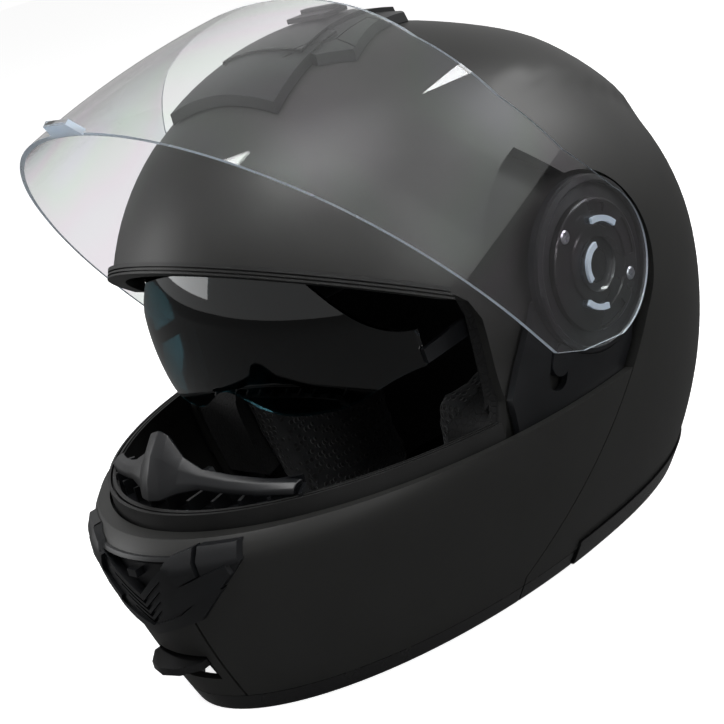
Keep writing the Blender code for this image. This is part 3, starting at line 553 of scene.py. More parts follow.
def make_lock_slider():
    centre = (LOCK_CENTRE[0] - 3 * LOCK_AXIS[0], LOCK_CENTRE[1] - 3 * LOCK_AXIS[1])
    return meet(side_prism(pill(centre, LOCK_AXIS, 7.6, 4.6), 60, 200), layer(ARM_DEPTH - 0.8, ARM_WALL))


def screw_place(angle):
    a = math.radians(angle)
    return PIVOT[0] - SCREW_RING * math.cos(a), PIVOT[1] + SCREW_RING * math.sin(a)


# ---- clear visor -------------------------------------------------------------------------------
def visor_point(angle, z, inset):
    """The closed visor's surface: level ellipses whose front leans back with height."""
    t = (z - VISOR_LOW[1]) / (VISOR_HIGH[1] - VISOR_LOW[1])
    front = VISOR_LOW[0] + (VISOR_HIGH[0] - VISOR_LOW[0]) * t - VISOR_BULGE * 4 * t * (1 - t)
    reach = VISOR_CENTRE_Y - front - inset
    e = 2 / VISOR_POWER
    return ((VISOR_HALF_WIDTH - inset) * signed_power(math.sin(angle), e),
            VISOR_CENTRE_Y - reach * abs(math.cos(angle)) ** e, z)


def visor_wall():
    """The whole curved wall, taller than the visor, with flat sides that run back past the hinge."""
    levels = [VISOR_LOW[1] - 8 + i * 5.125 for i in range(29)]
    turns = [math.radians(a) for a in range(-90, 91, 2)]
    tail = PIVOT[0] + 50
    points, faces = [], []
    for inset in (0, VISOR_WALL):
        for z in levels:
            row = [visor_point(a, z, inset) for a in turns]
            points += [(row[0][0], tail, z)] + row + [(row[-1][0], tail, z)]
    n, rows = len(turns) + 2, len(levels)
    size = n * rows
    for r in range(rows - 1):
        for k in range(n - 1):
            a, b = r * n + k, (r + 1) * n + k
            faces.append((a, a + 1, b + 1, b))
            faces.append((size + a, size + b, size + b + 1, size + a + 1))
        left, right = r * n, r * n + n - 1
        faces.append((left, left + n, size + left + n, size + left))
        faces.append((right + n, right, size + right, size + right + n))
    for k in range(n - 1):
        top = (rows - 1) * n + k
        faces.append((k + 1, k, size + k, size + k + 1))
        faces.append((top, top + 1, size + top + 1, size + top))
    return curved_object("visor_wall", points, faces)


def visor_outline():
    """Side outline of the closed visor."""
    edge = VISOR_LOW[1]
    return [(-230, edge), (-120, edge + 3), (0, edge + 4), (16, edge + 14)] + arc(
        PIVOT, VISOR_DISC_RADIUS, -150, -285, 48) + [
        (-40, 174), (-75, 178), (-105, 189), (-128, 207), (-230, 262)]


def make_visor():
    visor = meet(side_prism(visor_outline()), visor_wall())
    for side in (-1, 1):
        boss = sorted((side * (PLATE_X[0] + 0.2), side * (VISOR_HALF_WIDTH - 0.8)))
        join(visor, rod(VISOR_BOSS_RADIUS, *boss, count=64))
    low = VISOR_LOW[1] + 0.6
    join(visor, prism([(-11, -181.5), (11, -181.5), (8, -189), (-8, -189)], low, low + 2.8, "Z"))
    return turned(visor, VISOR_RAISED)


def turned(obj, degrees):
    """Turns a mesh about the hinge axis, front upwards."""
    centre = Matrix.Translation((0, PIVOT[0] * MM, PIVOT[1] * MM))
    turn = Matrix.Rotation(-math.radians(degrees), 4, "X")
    obj.data.transform(centre @ turn @ centre.inverted())
    return obj


# ---- sun visor -------------------------------------------------------------------------------
def make_sun_visor():
    return revolved(SUN_HALF_WIDTH, 0, -SUN_WALL, sun_edges, 80, 28)


# ---- chin bar ----------------------------------------------------------------------------------
VENT = [(-52, CHIN_TOP_Z - 5), (52, CHIN_TOP_Z - 5), (53, 83), (49, 78), (0, 47), (-49, 78), (-53, 83)]
VENT_MIDDLE = (0.0, 72.0)
TAB_SLOT_X, TAB_SLOT_Z = 17.0, (20.0, 34.0)
FRONT_Y = (-240.0, -100.0)


def scaled(outline, factor):
    cx, cz = VENT_MIDDLE
    return [(cx + (x - cx) * factor, cz + (z - cz) * factor) for x, z in outline]


def make_chin_bar():
    bar = meet(skin(0, WALL), side_prism(chin_outline(CHIN_TOP_Z, TRIM_TOP_Z + GAP)))
    cut(bar, prism(scaled(VENT, 0.9), *FRONT_Y, "Y"))
    return cut(bar, slab((-TAB_SLOT_X, TAB_SLOT_X), FRONT_Y, TAB_SLOT_Z))


def make_chin_trim():
    trim = cut(body(0, low=0), body(TRIM_WALL))
    back = SPLIT_FOOT[0] - PARTING
    return meet(trim, side_prism([(-260, -5), (back, -5), (back, TRIM_TOP_Z), (-260, TRIM_TOP_Z)]))


def make_chin_foam():
    back = SHELL_FRONT_Y - 34
    foam = meet(skin(WALL + GAP, 20, 2), side_prism([(-260, 84), (back, 84), (back, 12), (-260, 12)]))
    cut(foam, prism([(-40, 90), (40, 90), (30, 46), (-30, 46)], *FRONT_Y, "Y"))
    return cut(foam, slab((-26, 26), FRONT_Y, (5, TAB_SLOT_Z[1] + 6)))


def band(z, depth, thickness, half_turn, steps, low, high):
    """An upright band that follows the wall at height z, a given depth under the outer form."""
    turns = [half_turn * (2 * i / steps - 1) for i in range(steps + 1)]
    outer = [wall_point(a, z, depth) for a in turns]
    inner = [wall_point(a, z, depth) for a in reversed(turns)]
    moved = []
    for x, y in inner:
        reach = math.hypot(x, y - SECTION_Y)
        moved.append((x * (1 - thickness / reach), SECTION_Y + (y - SECTION_Y) * (1 - thickness / reach)))
    return prism(outer + moved, low, high, "Z")


GASKET_DEPTH = WALL + 1.3
GASKET_WALL = 5.0
GASKET_Z = (CHIN_TOP_Z - 5, CHIN_TOP_Z + 7)


def make_shutter():
    leaf = [(-24, 82), (24, 82), (9, 65), (-9, 65)]
    shutter = meet(layer(WALL - 1 + GAP, 2), prism(leaf, *FRONT_Y, "Y"))
    face = surface_point(0, 78).y
    return join(shutter, slab((-3, 3), (face - 1, face + 6), (77, 80.5)))


def make_release_tab():
    top = TAB_SLOT_Z[1] - 1.4
    front = surface_point(0, top).y
    tongue = [(-16.4, front + 6), (16.4, front + 6), (16.4, front - 1), (9, front - 8.5), (0, front - 11),
              (-9, front - 8.5), (-16.4, front - 1)]
    tab = prism(tongue, top - 3.6, top, "Z")
    return join(tab, meet(layer(WALL + 0.4, 2.4), slab((-21, 21), FRONT_Y, (top - 7, top + 4))))


LATCH = (-66.0, 40.0)       # y and z of the latch, which the foam leaves room for


# ---- retention strap ---------------------------------------------------------------------------
STRAP_WIDTH, STRAP_THICK = 20.0, 2.0
STRAP_ROUTE = [(80.0, 6.0, 17.5), (70.0, -6.0, 17.0), (60.0, -24.0, 12.5), (44.0, -40.0, 8.5),
               (24.0, -50.0, 6.3)]


# ---- placing and shading -------------------------------------------------------------------------
PIN_LOW, PIN_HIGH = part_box("pivot_pin_left")
SHIFT = Vector((0, (PIN_LOW[1] + PIN_HIGH[1]) / 2 - PIVOT[0] * MM, 0))


def form_normal(p, chinless=False):
    """The outer form's normal at the level and plan direction of a point near it."""
    z = min(max(p.z, 0.5), HEIGHT - 1)
    width, front, back = level_section(z, chinless)
    ahead = SECTION_Y - p.y
    power, reach = (FRONT_POWER, front) if ahead > 0 else (BACK_POWER, back)
    s = signed_power(p.x / width, power / 2)
    c = signed_power(ahead / reach, power / 2)
    return surface_normal(math.atan2(s, c), z, chinless)


def visor_normal(p):
    """The raised visor's outward normal near a point."""
    a = math.radians(VISOR_RAISED)
    y, z = p.y - PIVOT[0], p.z - PIVOT[1]
    closed = Vector((p.x, PIVOT[0] + y * math.cos(a) - z * math.sin(a),
                     PIVOT[1] + y * math.sin(a) + z * math.cos(a)))
    t = (closed.z - VISOR_LOW[1]) / (VISOR_HIGH[1] - VISOR_LOW[1])
    front = VISOR_LOW[0] + (VISOR_HIGH[0] - VISOR_LOW[0]) * t - VISOR_BULGE * 4 * t * (1 - t)
    ahead = (VISOR_CENTRE_Y - closed.y) / (VISOR_CENTRE_Y - front)
    if ahead <= 0.02:
        return Vector((math.copysign(1, p.x), 0, 0))
    angle = math.atan2(signed_power(closed.x / VISOR_HALF_WIDTH, VISOR_POWER / 2), ahead ** (VISOR_POWER / 2))
    h = 0.02
    low, high = min(angle + h, 1.57), max(angle - h, -1.57)
    along = Vector(visor_point(low, closed.z, 0)) - Vector(visor_point(high, closed.z, 0))
    up = Vector(visor_point(angle, closed.z + 1, 0)) - Vector(visor_point(angle, closed.z - 1, 0))
    n = along.cross(up).normalized()
    y, z = n.y, n.z
    return Vector((n.x, y * math.cos(a) + z * math.sin(a), -y * math.sin(a) + z * math.cos(a)))


def polish(obj, normal_at=None, crease=30, close=0.85):
    """Smooth shading with crisp edges; faces that lie along a known surface take its exact normals."""
    mesh = obj.data
    mesh.validate()
    mesh.polygons.foreach_set("use_smooth", [True] * len(mesh.polygons))
    mesh.set_sharp_from_angle(angle=math.radians(crease))
    if normal_at is None:
        return obj
    normals = np.empty(len(mesh.loops) * 3)
    mesh.corner_normals.foreach_get("vector", normals)
    normals = normals.reshape(-1, 3)
    known = {}
    for face in mesh.polygons:
        for corner in face.loop_indices:
            v = mesh.loops[corner].vertex_index
            if v not in known:
                known[v] = normal_at(mesh.vertices[v].co / MM)
            along = known[v].dot(face.normal)
            if abs(along) > close:
                normals[corner] = known[v] * math.copysign(1, along)
    mesh.normals_split_custom_set(normals.tolist())
    return obj


def tidy_mesh(obj):
    """Welds doubles and drops faces without area."""
    form = bmesh.new()
    form.from_mesh(obj.data)
    bmesh.ops.remove_doubles(form, verts=form.verts, dist=0.00002)
    bmesh.ops.dissolve_degenerate(form, edges=form.edges, dist=0.00002)
    form.to_mesh(obj.data)
    form.free()
    return obj


def bake(obj):
    """Turns the result of an object's modifiers into its plain mesh."""
    bpy.context.view_layer.update()
    obj.data = bpy.data.meshes.new_from_object(obj.evaluated_get(bpy.context.evaluated_depsgraph_get()))
    obj.modifiers.clear()
    return obj


def place(obj, name, finish, slot, *nodes, normal_at=None, body=None, crease=30):
    """Moves a drawn piece into the frame, shades it and lets it ride on its body."""
    polish(obj, normal_at, crease)
    obj.data.transform(Matrix.Translation(SHIFT))
    obj.name = name
    obj.data.name = name
    dress(obj, finish)
    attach(obj, body or BODY_OF[nodes[0]])
    if nodes:
        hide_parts(*nodes)
    return obj


def place_pair(obj, name, finish, slot, node=None, **how):
    """Places a left-hand piece and its right-hand twin, and returns both."""
    pair = [(obj, "_left"), (mirrored(obj, name), "_right")]
    for piece, side in pair:
        place(piece, name + side, finish, slot, *([node + side] if node else []), **how)
    return [piece for piece, side in pair]


def dress(obj, *finishes):
    """Gives a mesh its finishes; one with several parts that is dressed already keeps them."""
    if len(finishes) == 1 and len(obj.data.materials) > 1:
        return obj
    obj.data.materials.clear()
    for finish in finishes:
        obj.data.materials.append(finish)
    return obj


def lathe(profile, count=96, centre=PIVOT, name="lathe"):
    """A closed ring turned about the X direction from a profile of (x, radius)."""
    area = sum(a[0] * b[1] - b[0] * a[1] for a, b in zip(profile, profile[1:] + profile[:1]))
    ring = profile if area > 0 else list(reversed(profile))
    n = len(ring)
    turns = [2 * math.pi * k / count for k in range(count)]
    points = [(x, centre[0] - r * math.cos(t), centre[1] + r * math.sin(t)) for t in turns for x, r in ring]
    faces = [(k * n + i, k * n + (i + 1) % n, (k + 1) % count * n + (i + 1) % n, (k + 1) % count * n + i)
             for k in range(count) for i in range(n)]
    return fix_outward(mesh_object(name, points, faces))


def fix_outward(obj):
    """Makes every face of a closed mesh point outwards."""
    form = bmesh.new()
    form.from_mesh(obj.data)
    bmesh.ops.recalc_face_normals(form, faces=form.faces)
    form.to_mesh(obj.data)
    form.free()
    return obj


# ---- materials -----------------------------------------------------------------------------------
def srgb(code):
    """A colour in sRGB hex as linear values."""
    parts = [int(code[i:i + 2], 16) / 255 for i in (1, 3, 5)]
    return tuple(c / 12.92 if c <= 0.04045 else ((c + 0.055) / 1.055) ** 2.4 for c in parts) + (1.0,)


def add(tree, kind, sockets=None, **settings):
    """Adds a node with its settings; each socket takes a value or the output that feeds it."""
    node = tree.nodes.new(kind)
    for key, value in settings.items():
        setattr(node, key, value)
    for key, value in (sockets or {}).items():
        if isinstance(value, bpy.types.NodeSocket):
            tree.links.new(value, node.inputs[key])
        else:
            node.inputs[key].default_value = value
    return node


def material(name, colour, rough, **sockets):
    """A new material with its shader's plain values set; returns it with its tree and shader."""
    made = bpy.data.materials.new(name)
    made.use_nodes = True
    tree = made.node_tree
    shader = next(n for n in tree.nodes if n.type == "BSDF_PRINCIPLED")
    shader.inputs["Base Color"].default_value = srgb(colour)
    shader.inputs["Roughness"].default_value = rough
    for key, value in sockets.items():
        shader.inputs[key.replace("_", " ")].default_value = value
    return made, tree, shader


def per_mm(size):
    """Texture scale that gives features of a size in millimetres."""
    return 1 / (size * MM)


def grained(name, colour, rough, grain, depth, spread=0.06, shade=None, **sockets):
    """A solid finish with a fine grain: bump of a real size and a slow change of gloss and colour."""
    made, tree, shader = material(name, colour, rough, **sockets)
    place_ = add(tree, "ShaderNodeTexCoord").outputs["Object"]
    fine = add(tree, "ShaderNodeTexNoise", {"Vector": place_, "Scale": per_mm(grain), "Detail": 3.0})
    bump = add(tree, "ShaderNodeBump", {"Height": fine.outputs["Fac"], "Distance": depth * MM,
                                        "Strength": 1.0})
    tree.links.new(bump.outputs["Normal"], shader.inputs["Normal"])
    slow = add(tree, "ShaderNodeTexNoise", {"Vector": place_, "Scale": per_mm(38), "Detail": 4.0})
    gloss = add(tree, "ShaderNodeMapRange", {"Value": slow.outputs["Fac"], "From Min": 0.3, "From Max": 0.7,
                                             "To Min": rough - spread, "To Max": rough + spread})
    tree.links.new(gloss.outputs["Result"], shader.inputs["Roughness"])
    if shade:
        ramp = add(tree, "ShaderNodeValToRGB", {"Fac": slow.outputs["Fac"]})
        ramp.color_ramp.elements[0].position, ramp.color_ramp.elements[1].position = 0.3, 0.7
        ramp.color_ramp.elements[0].color, ramp.color_ramp.elements[1].color = srgb(colour), srgb(shade)
        tree.links.new(ramp.outputs["Color"], shader.inputs["Base Color"])
    return made


def spacer_mesh(name, colour, painted_hole_shade, cell):
    """Knitted spacer mesh: round holes in rows, with a lighter knit between them; the dark inside of the
    holes is painted shade, a near-black colour where shade falls in them.
    """
    made, tree, shader = material(name, colour, 0.85, Sheen_Weight=0.4, Sheen_Roughness=0.5)
    place_ = add(tree, "ShaderNodeTexCoord").outputs["Object"]
    cells = add(tree, "ShaderNodeTexVoronoi", {"Vector": place_, "Scale": per_mm(cell), "Randomness": 0.35})
    hole = add(tree, "ShaderNodeMapRange", {"Value": cells.outputs["Distance"], "From Min": 0.26,
                                            "From Max": 0.42})
    knit = add(tree, "ShaderNodeTexNoise", {"Vector": place_, "Scale": per_mm(0.7), "Detail": 2.0})
    # painted shade: the holes take a near-black colour for the shade that falls in their depth
    ramp = add(tree, "ShaderNodeValToRGB", {"Fac": hole.outputs["Result"]})
    ramp.color_ramp.elements[0].color, ramp.color_ramp.elements[1].color = srgb(painted_hole_shade), srgb(colour)
    height = add(tree, "ShaderNodeMath", {0: hole.outputs["Result"], 1: 1.0}, operation="MULTIPLY")
    soft = add(tree, "ShaderNodeMath", {0: knit.outputs["Fac"], 1: 0.25, 2: height.outputs["Value"]},
               operation="MULTIPLY_ADD")
    bump = add(tree, "ShaderNodeBump", {"Height": soft.outputs["Value"], "Distance": 0.6 * MM,
                                        "Strength": 1.0})
    tree.links.new(ramp.outputs["Color"], shader.inputs["Base Color"])
    tree.links.new(bump.outputs["Normal"], shader.inputs["Normal"])
    return made


def beaded_foam(name, colour, shade):
    """Moulded expanded polystyrene: fused beads of 3 mm with darker seams between them."""
    made, tree, shader = material(name, colour, 0.8)
    place_ = add(tree, "ShaderNodeTexCoord").outputs["Object"]
    beads = add(tree, "ShaderNodeTexVoronoi", {"Vector": place_, "Scale": per_mm(3.2)},
                feature="DISTANCE_TO_EDGE")
    seam = add(tree, "ShaderNodeMapRange", {"Value": beads.outputs["Distance"], "From Max": 0.12})
    ramp = add(tree, "ShaderNodeValToRGB", {"Fac": seam.outputs["Result"]})
    ramp.color_ramp.elements[0].color, ramp.color_ramp.elements[1].color = srgb(shade), srgb(colour)
    bump = add(tree, "ShaderNodeBump", {"Height": seam.outputs["Result"], "Distance": 0.3 * MM,
                                        "Strength": 0.7})
    tree.links.new(ramp.outputs["Color"], shader.inputs["Base Color"])
    tree.links.new(bump.outputs["Normal"], shader.inputs["Normal"])
    return made


def woven_strap(name, colour, shade):
    """Polyester webbing: ribs 1.2 mm apart across the strap."""
    made, tree, shader = material(name, colour, 0.75, Sheen_Weight=0.3)
    place_ = add(tree, "ShaderNodeTexCoord").outputs["Object"]
    ribs = add(tree, "ShaderNodeTexWave", {"Vector": place_, "Scale": per_mm(1.2) / 6.28, "Distortion": 0.6,
                                           "Detail": 1.0}, wave_type="BANDS", bands_direction="DIAGONAL")
    ramp = add(tree, "ShaderNodeValToRGB", {"Fac": ribs.outputs["Fac"]})
    ramp.color_ramp.elements[0].color, ramp.color_ramp.elements[1].color = srgb(shade), srgb(colour)
    bump = add(tree, "ShaderNodeBump", {"Height": ribs.outputs["Fac"], "Distance": 0.3 * MM, "Strength": 0.8})
    tree.links.new(ramp.outputs["Color"], shader.inputs["Base Color"])
    tree.links.new(bump.outputs["Normal"], shader.inputs["Normal"])
    return made


def clear_plastic(name, tints, rough, shade_through, ior=1.58):
    """Moulded polycarbonate: flow stress leaves faint broad bands of tint.

    A share of the lamps' light passes through it.
    """
    made, tree, shader = material(name, tints[0], rough, Transmission_Weight=1.0, IOR=ior)
    place_ = add(tree, "ShaderNodeTexCoord").outputs["Object"]
    flow = add(tree, "ShaderNodeTexNoise", {"Vector": place_, "Scale": per_mm(90), "Detail": 1.0,
                                            "Distortion": 0.8})
    ramp = add(tree, "ShaderNodeValToRGB", {"Fac": flow.outputs["Fac"]})
    stops = ramp.color_ramp.elements
    stops[0].position, stops[0].color = 0.30, srgb(tints[0])
    stops[1].position, stops[1].color = 0.70, srgb(tints[-1])
    for i, tint in enumerate(tints[1:-1], 1):
        stop = stops.new(0.30 + 0.4 * i / (len(tints) - 1))
        stop.color = srgb(tint)
    tree.links.new(ramp.outputs["Color"], shader.inputs["Base Color"])
    shadow = add(tree, "ShaderNodeLightPath").outputs["Is Shadow Ray"]
    thin = add(tree, "ShaderNodeMath", {0: shadow, 1: -shade_through, 2: 1.0}, operation="MULTIPLY_ADD")
    tree.links.new(thin.outputs["Value"], shader.inputs["Alpha"])
    return made


# Polyurethane clear coat with a matting agent over black: a wide soft highlight, almost no texture.
MATTE_PAINT = grained("matte_black_paint", "#191918", 0.44, 1.4, 0.002, 0.015, "#1c1c1b",
                      Specular_IOR_Level=0.4)
# Injection moulded ABS with an etched grain: a duller, finely pitted black.
GRAINED_ABS = grained("grained_abs", "#0a0b0d", 0.38, 0.8, 0.015, 0.05, "#0e0f12", Specular_IOR_Level=0.4)
# Polished ABS edging: sharper highlights than the paint.
GLOSS_ABS = grained("semi_gloss_abs", "#0e0e0f", 0.26, 6.0, 0.02, 0.04, "#111112", Specular_IOR_Level=0.45)
# Extruded EPDM seal: soft grey-black with a faint bloom.
RUBBER = grained("epdm_rubber", "#121212", 0.5, 1.5, 0.03, 0.08, "#1b1b1b", Specular_IOR_Level=0.35)
# Expanded polystyrene with a black skin: fused beads show as fine seams.
FOAM = beaded_foam("expanded_polystyrene", "#1a1a1b", "#0c0c0c")
# Warp-knitted polyester spacer mesh of the pads; its 3.4 mm holes show from outside, their near-black colour
# is painted shade.
PAD_MESH = spacer_mesh("knitted_spacer_mesh", "#232426", "#060606", 3.4)
# Brushed polyester jersey of the crown lining.
JERSEY = grained("brushed_jersey", "#161617", 0.9, 0.9, 0.12, 0.03, "#1e1e20", Sheen_Weight=0.5)
# Woven polyester webbing: fine ribs with a dull sheen.
WEBBING = woven_strap("polyester_webbing", "#1a1a1b", "#0d0d0d")
# Clear polycarbonate, hard coated; a blue-violet to green cast where it was stressed in the mould.
CLEAR_PC = clear_plastic("clear_polycarbonate", ("#f4fafa", "#f8f2f8", "#f2f9f4", "#f6f8fc"), 0.0, 0.9)
# The visor's milled edge: scratches scatter the light that the sheet carries to it.
MILLED_EDGE = grained("milled_polycarbonate_edge", "#dfe9f3", 0.3, 0.6, 0.02, 0.05, "#c3d3e4",
                      Transmission_Weight=0.55, IOR=1.58)
# Smoke-tinted polycarbonate: blue-green and dark, with soft reflections.
SMOKE_PC = clear_plastic("smoke_polycarbonate", ("#1f3a40", "#1a3136", "#23424a"), 0.03, 0.3)
# Zinc-plated steel: bluish grey with cloudy patches.
ZINC = grained("zinc_plated_steel", "#c4c7cb", 0.32, 1.2, 0.01, 0.06, "#a7abb0", Metallic=1.0)


# ---- what repeats --------------------------------------------------------------------------------
def arc_tree(name, finish):
    """Geometry nodes: copies of one mesh along a circular arc, each turned to face its centre."""
    tree = bpy.data.node_groups.new(name, "GeometryNodeTree")
    face = tree.interface
    for label, kind, way in (("Unit", "NodeSocketGeometry", "INPUT"), ("Count", "NodeSocketInt", "INPUT"),
                             ("Radius", "NodeSocketFloat", "INPUT"), ("Start", "NodeSocketFloat", "INPUT"),
                             ("Sweep", "NodeSocketFloat", "INPUT"), ("Centre", "NodeSocketVector", "INPUT"),
                             ("Row", "NodeSocketGeometry", "OUTPUT")):
        face.new_socket(label, in_out=way, socket_type=kind)
    given = add(tree, "NodeGroupInput").outputs
    bow = add(tree, "GeometryNodeCurveArc", {"Radius": given["Radius"], "Start Angle": given["Start"],
                                            "Sweep Angle": given["Sweep"], "Resolution": 64})
    points = add(tree, "GeometryNodeCurveToPoints", {"Curve": bow.outputs["Curve"], "Count": given["Count"]})
    placed = add(tree, "GeometryNodeSetPosition", {"Geometry": points.outputs["Points"],
                                                  "Offset": given["Centre"]})
    spot = add(tree, "GeometryNodeInputPosition").outputs["Position"]
    arm = add(tree, "ShaderNodeVectorMath", {0: spot, 1: given["Centre"]}, operation="SUBTRACT")
    turn = add(tree, "FunctionNodeAlignRotationToVector", {"Vector": arm.outputs["Vector"]}, axis="X",
               pivot_axis="Z")
    copies = add(tree, "GeometryNodeInstanceOnPoints", {"Points": placed.outputs["Geometry"],
                                                       "Instance": given["Unit"],
                                                       "Rotation": turn.outputs["Rotation"]})
    real = add(tree, "GeometryNodeRealizeInstances", {"Geometry": copies.outputs["Instances"]})
    dressed = add(tree, "GeometryNodeSetMaterial", {"Geometry": real.outputs["Geometry"], "Material": finish})
    add(tree, "NodeGroupOutput", {"Row": dressed.outputs["Geometry"]})
    return tree


def repeated(unit, tree, **inputs):
    """Runs a tree on one mesh and keeps the result as a plain mesh."""
    modifier = unit.modifiers.new("Repeat", "NODES")
    modifier.node_group = tree
    for item in tree.interface.items_tree:
        if item.in_out == "INPUT" and item.name in inputs:
            modifier[item.identifier] = inputs[item.name]
    return bake(unit)


# ---- padded pieces -------------------------------------------------------------------------------
def swollen(obj, voxel, pressure, cap):
    """Remeshes a pad and lets cloth under pressure swell it, by no more than cap."""
    remesh = obj.modifiers.new("Remesh", "REMESH")
    remesh.mode, remesh.voxel_size = "VOXEL", voxel * MM
    bake(obj)
    start = np.array([v.co[:] for v in obj.data.vertices])
    cloth = obj.modifiers.new("Cloth", "CLOTH")
    cloth.settings.use_pressure = True
    cloth.settings.uniform_pressure_force = pressure
    cloth.settings.effector_weights.gravity = 0
    for step in range(1, 21):
        bpy.context.scene.frame_set(step)
    made = bpy.data.meshes.new_from_object(obj.evaluated_get(bpy.context.evaluated_depsgraph_get()))
    obj.modifiers.clear()
    end = np.array([v.co[:] for v in made.vertices])
    move = end - start
    far = np.maximum(np.linalg.norm(move, axis=1, keepdims=True), 1e-9)
    end = start + move * np.minimum(1, cap * MM / far)
    made.vertices.foreach_set("co", end.ravel())
    obj.data = made
    bpy.context.scene.frame_set(1)
    finer = obj.modifiers.new("Subdivision", "SUBSURF")
    finer.levels = finer.render_levels = 1
    return bake(obj)


# ---- the pieces ----------------------------------------------------------------------------------
def shell_pieces():
    """The painted shell with its rim trims, neck roll, brow seal and rear outlet."""
    place(make_outer_shell(), "shell_outer", MATTE_PAINT, "shell_paint", "outer_shell", normal_at=form_normal)
    place(make_neck_roll(), "neck_edge_roll", GLOSS_ABS, "trim_plastic", "neck_roll", normal_at=form_normal)
    place(make_brow_lips(), "brow_lip_seal", RUBBER, "seal_rubber", "brow_seal", normal_at=form_normal)
    place(make_rear_exhaust(), "rear_exhaust_cover", GRAINED_ABS, "black_plastic", "rear_vent_cover",
          normal_at=form_normal)
    place_pair(make_edge_trim(), "rim_trim", GLOSS_ABS, "trim_plastic", "edge_trim", normal_at=form_normal)


LIP_GROOVE = 0.8            # width of the grooves between the brow seal's lips


def make_brow_lips():
    """The double-lipped seal over the eye opening."""
    seal = make_brow_seal()
    back = PORT_BACK_Y - 14
    for drop in (2.4, 4.2):
        low = drop + LIP_GROOVE
        groove = side_prism([(-200, brow_z(-200, drop)), (back, brow_z(back, drop)),
                             (back, brow_z(back, low)), (-200, brow_z(-200, low))])
        cut(seal, meet(cut(body(-4), body(-0.6)), groove))
    return seal


CREASE_X = (21.4, 22.6)     # the two upright grooves in the chin bar's face
CREASE_DEPTH = 1.2
POCKET_ROOM = (-40, 40), (2.5, 41)      # x and z of the dark pocket behind the release tab


def chin_pieces():
    """The chin bar with its trim, foam, seal, nose guard, duct, vent and release tab."""
    bar = make_chin_bar()
    for side in (-1, 1):
        groove = slab(sorted(side * x for x in CREASE_X), (-240, -150), (5, 58))
        cut(bar, meet(groove, cut(body(-1), body(CREASE_DEPTH))))
    place(bar, "chin_bar_outer", MATTE_PAINT, "shell_paint", "chin_bar_shell", normal_at=form_normal)
    place(make_chin_trim(), "chin_rim_trim", GLOSS_ABS, "trim_plastic", "chin_edge_trim",
          normal_at=form_normal)
    place(make_chin_foam(), "chin_impact_foam", FOAM, "impact_foam", "chin_foam", crease=40)
    place(make_lipped_gasket(), "eyeport_lip_gasket", RUBBER, "seal_rubber", "eyeport_gasket", crease=40)
    place(make_guard(), "nose_guard", GRAINED_ABS, "black_plastic", "breath_deflector", crease=50)
    pocket = meet(layer(WALL + 8, 2), slab(POCKET_ROOM[0], FRONT_Y, POCKET_ROOM[1]))
    place(pocket, "release_pocket", GRAINED_ABS, "black_plastic", body="chin_bar", normal_at=form_normal)
    ledge, fins = make_duct()
    place(ledge, "duct_ledge", GRAINED_ABS, "black_plastic", body="chin_bar")
    place(fins, "duct_fins", GRAINED_ABS, "black_plastic", body="chin_bar")
    place(make_vent_surround(), "chin_vent_surround", GRAINED_ABS, "black_plastic", "chin_vent_frame",
          normal_at=form_normal)
    place(make_shutter(), "chin_vent_leaf", GRAINED_ABS, "black_plastic", "chin_vent_shutter",
          normal_at=form_normal)
    place(make_release_tab(), "chin_release_lever", GLOSS_ABS, "black_plastic", "chin_release_tab",
          crease=35)


def make_lipped_gasket():
    """The eye opening's lower seal: a broad band with two lips and a groove between them."""
    gasket = band(CHIN_TOP_Z, GASKET_DEPTH, GASKET_WALL, math.radians(80), 120, *GASKET_Z)
    for depth, low in ((1.0, 3.2), (3.0, 2.2)):
        groove = band(CHIN_TOP_Z, GASKET_DEPTH + depth, 1.1, math.radians(81), 120, GASKET_Z[1] - low,
                      GASKET_Z[1] + 3)
        cut(gasket, groove)
    return meet(gasket, slab((-200, 200), (-260, PORT_BACK_Y - 9), (0, 200)))


GUARD_ROWS = [      # x, then y and z of the top edge and of the lower front edge
    (0, -151, 128, -166.5, 102.5), (5, -151.2, 126.5, -165.5, 102.8), (12, -152, 117, -160.5, 104.5),
    (22, -152, 112, -156.2, 106), (34, -147.5, 108, -151, 103), (48, -141.5, 104.5, -146, 101),
    (57, -137, 103, -141.5, 100), (62, -133.5, 101.5, -139, 99.5)]


GUARD_WALL = 2.4


def make_guard():
    """The nose guard: a peaked mask that leans back from the gasket, with a swept wing to each side."""
    rows = [(-x, *rest) for x, *rest in reversed(GUARD_ROWS[1:])] + GUARD_ROWS
    steps = 3
    points, faces = [], []
    for x, ty, tz, ly, lz in rows:
        for j in range(steps + 1):
            t = j / steps
            bow = (2.4 + 2.5 * math.exp(-(x / 5) ** 2)) * math.sin(math.pi * t)
            points.append((x, ly + (ty - ly) * t - bow * 0.7, lz + (tz - lz) * t ** 1.2 + bow * 0.4))
    n = steps + 1
    faces = [(i * n + j, i * n + j + 1, (i + 1) * n + j + 1, (i + 1) * n + j)
             for i in range(len(rows) - 1) for j in range(steps)]
    guard = mesh_object("guard", points, faces)
    thick = guard.modifiers.new("Thick", "SOLIDIFY")
    thick.thickness, thick.offset = GUARD_WALL * MM, -1
    edge = guard.modifiers.new("Edge", "BEVEL")
    edge.width, edge.segments, edge.limit_method, edge.angle_limit = 0.6 * MM, 3, "ANGLE", math.radians(14)
    return fix_outward(bake(guard))


DUCT_RADIUS = 112.0
DUCT_HALF_TURN = 34.0       # degrees to each side of the front
DUCT_Z = (91.5, 93.5)       # ledge behind the gasket
DUCT_BACK_Z = 101.5         # top of its rear wall
DUCT_WIDTH = 12
FIN_HALF = (5.4, 0.8)       # half length and half thickness of a fin
FIN_HEIGHT = 7
FIN_COUNT = 11


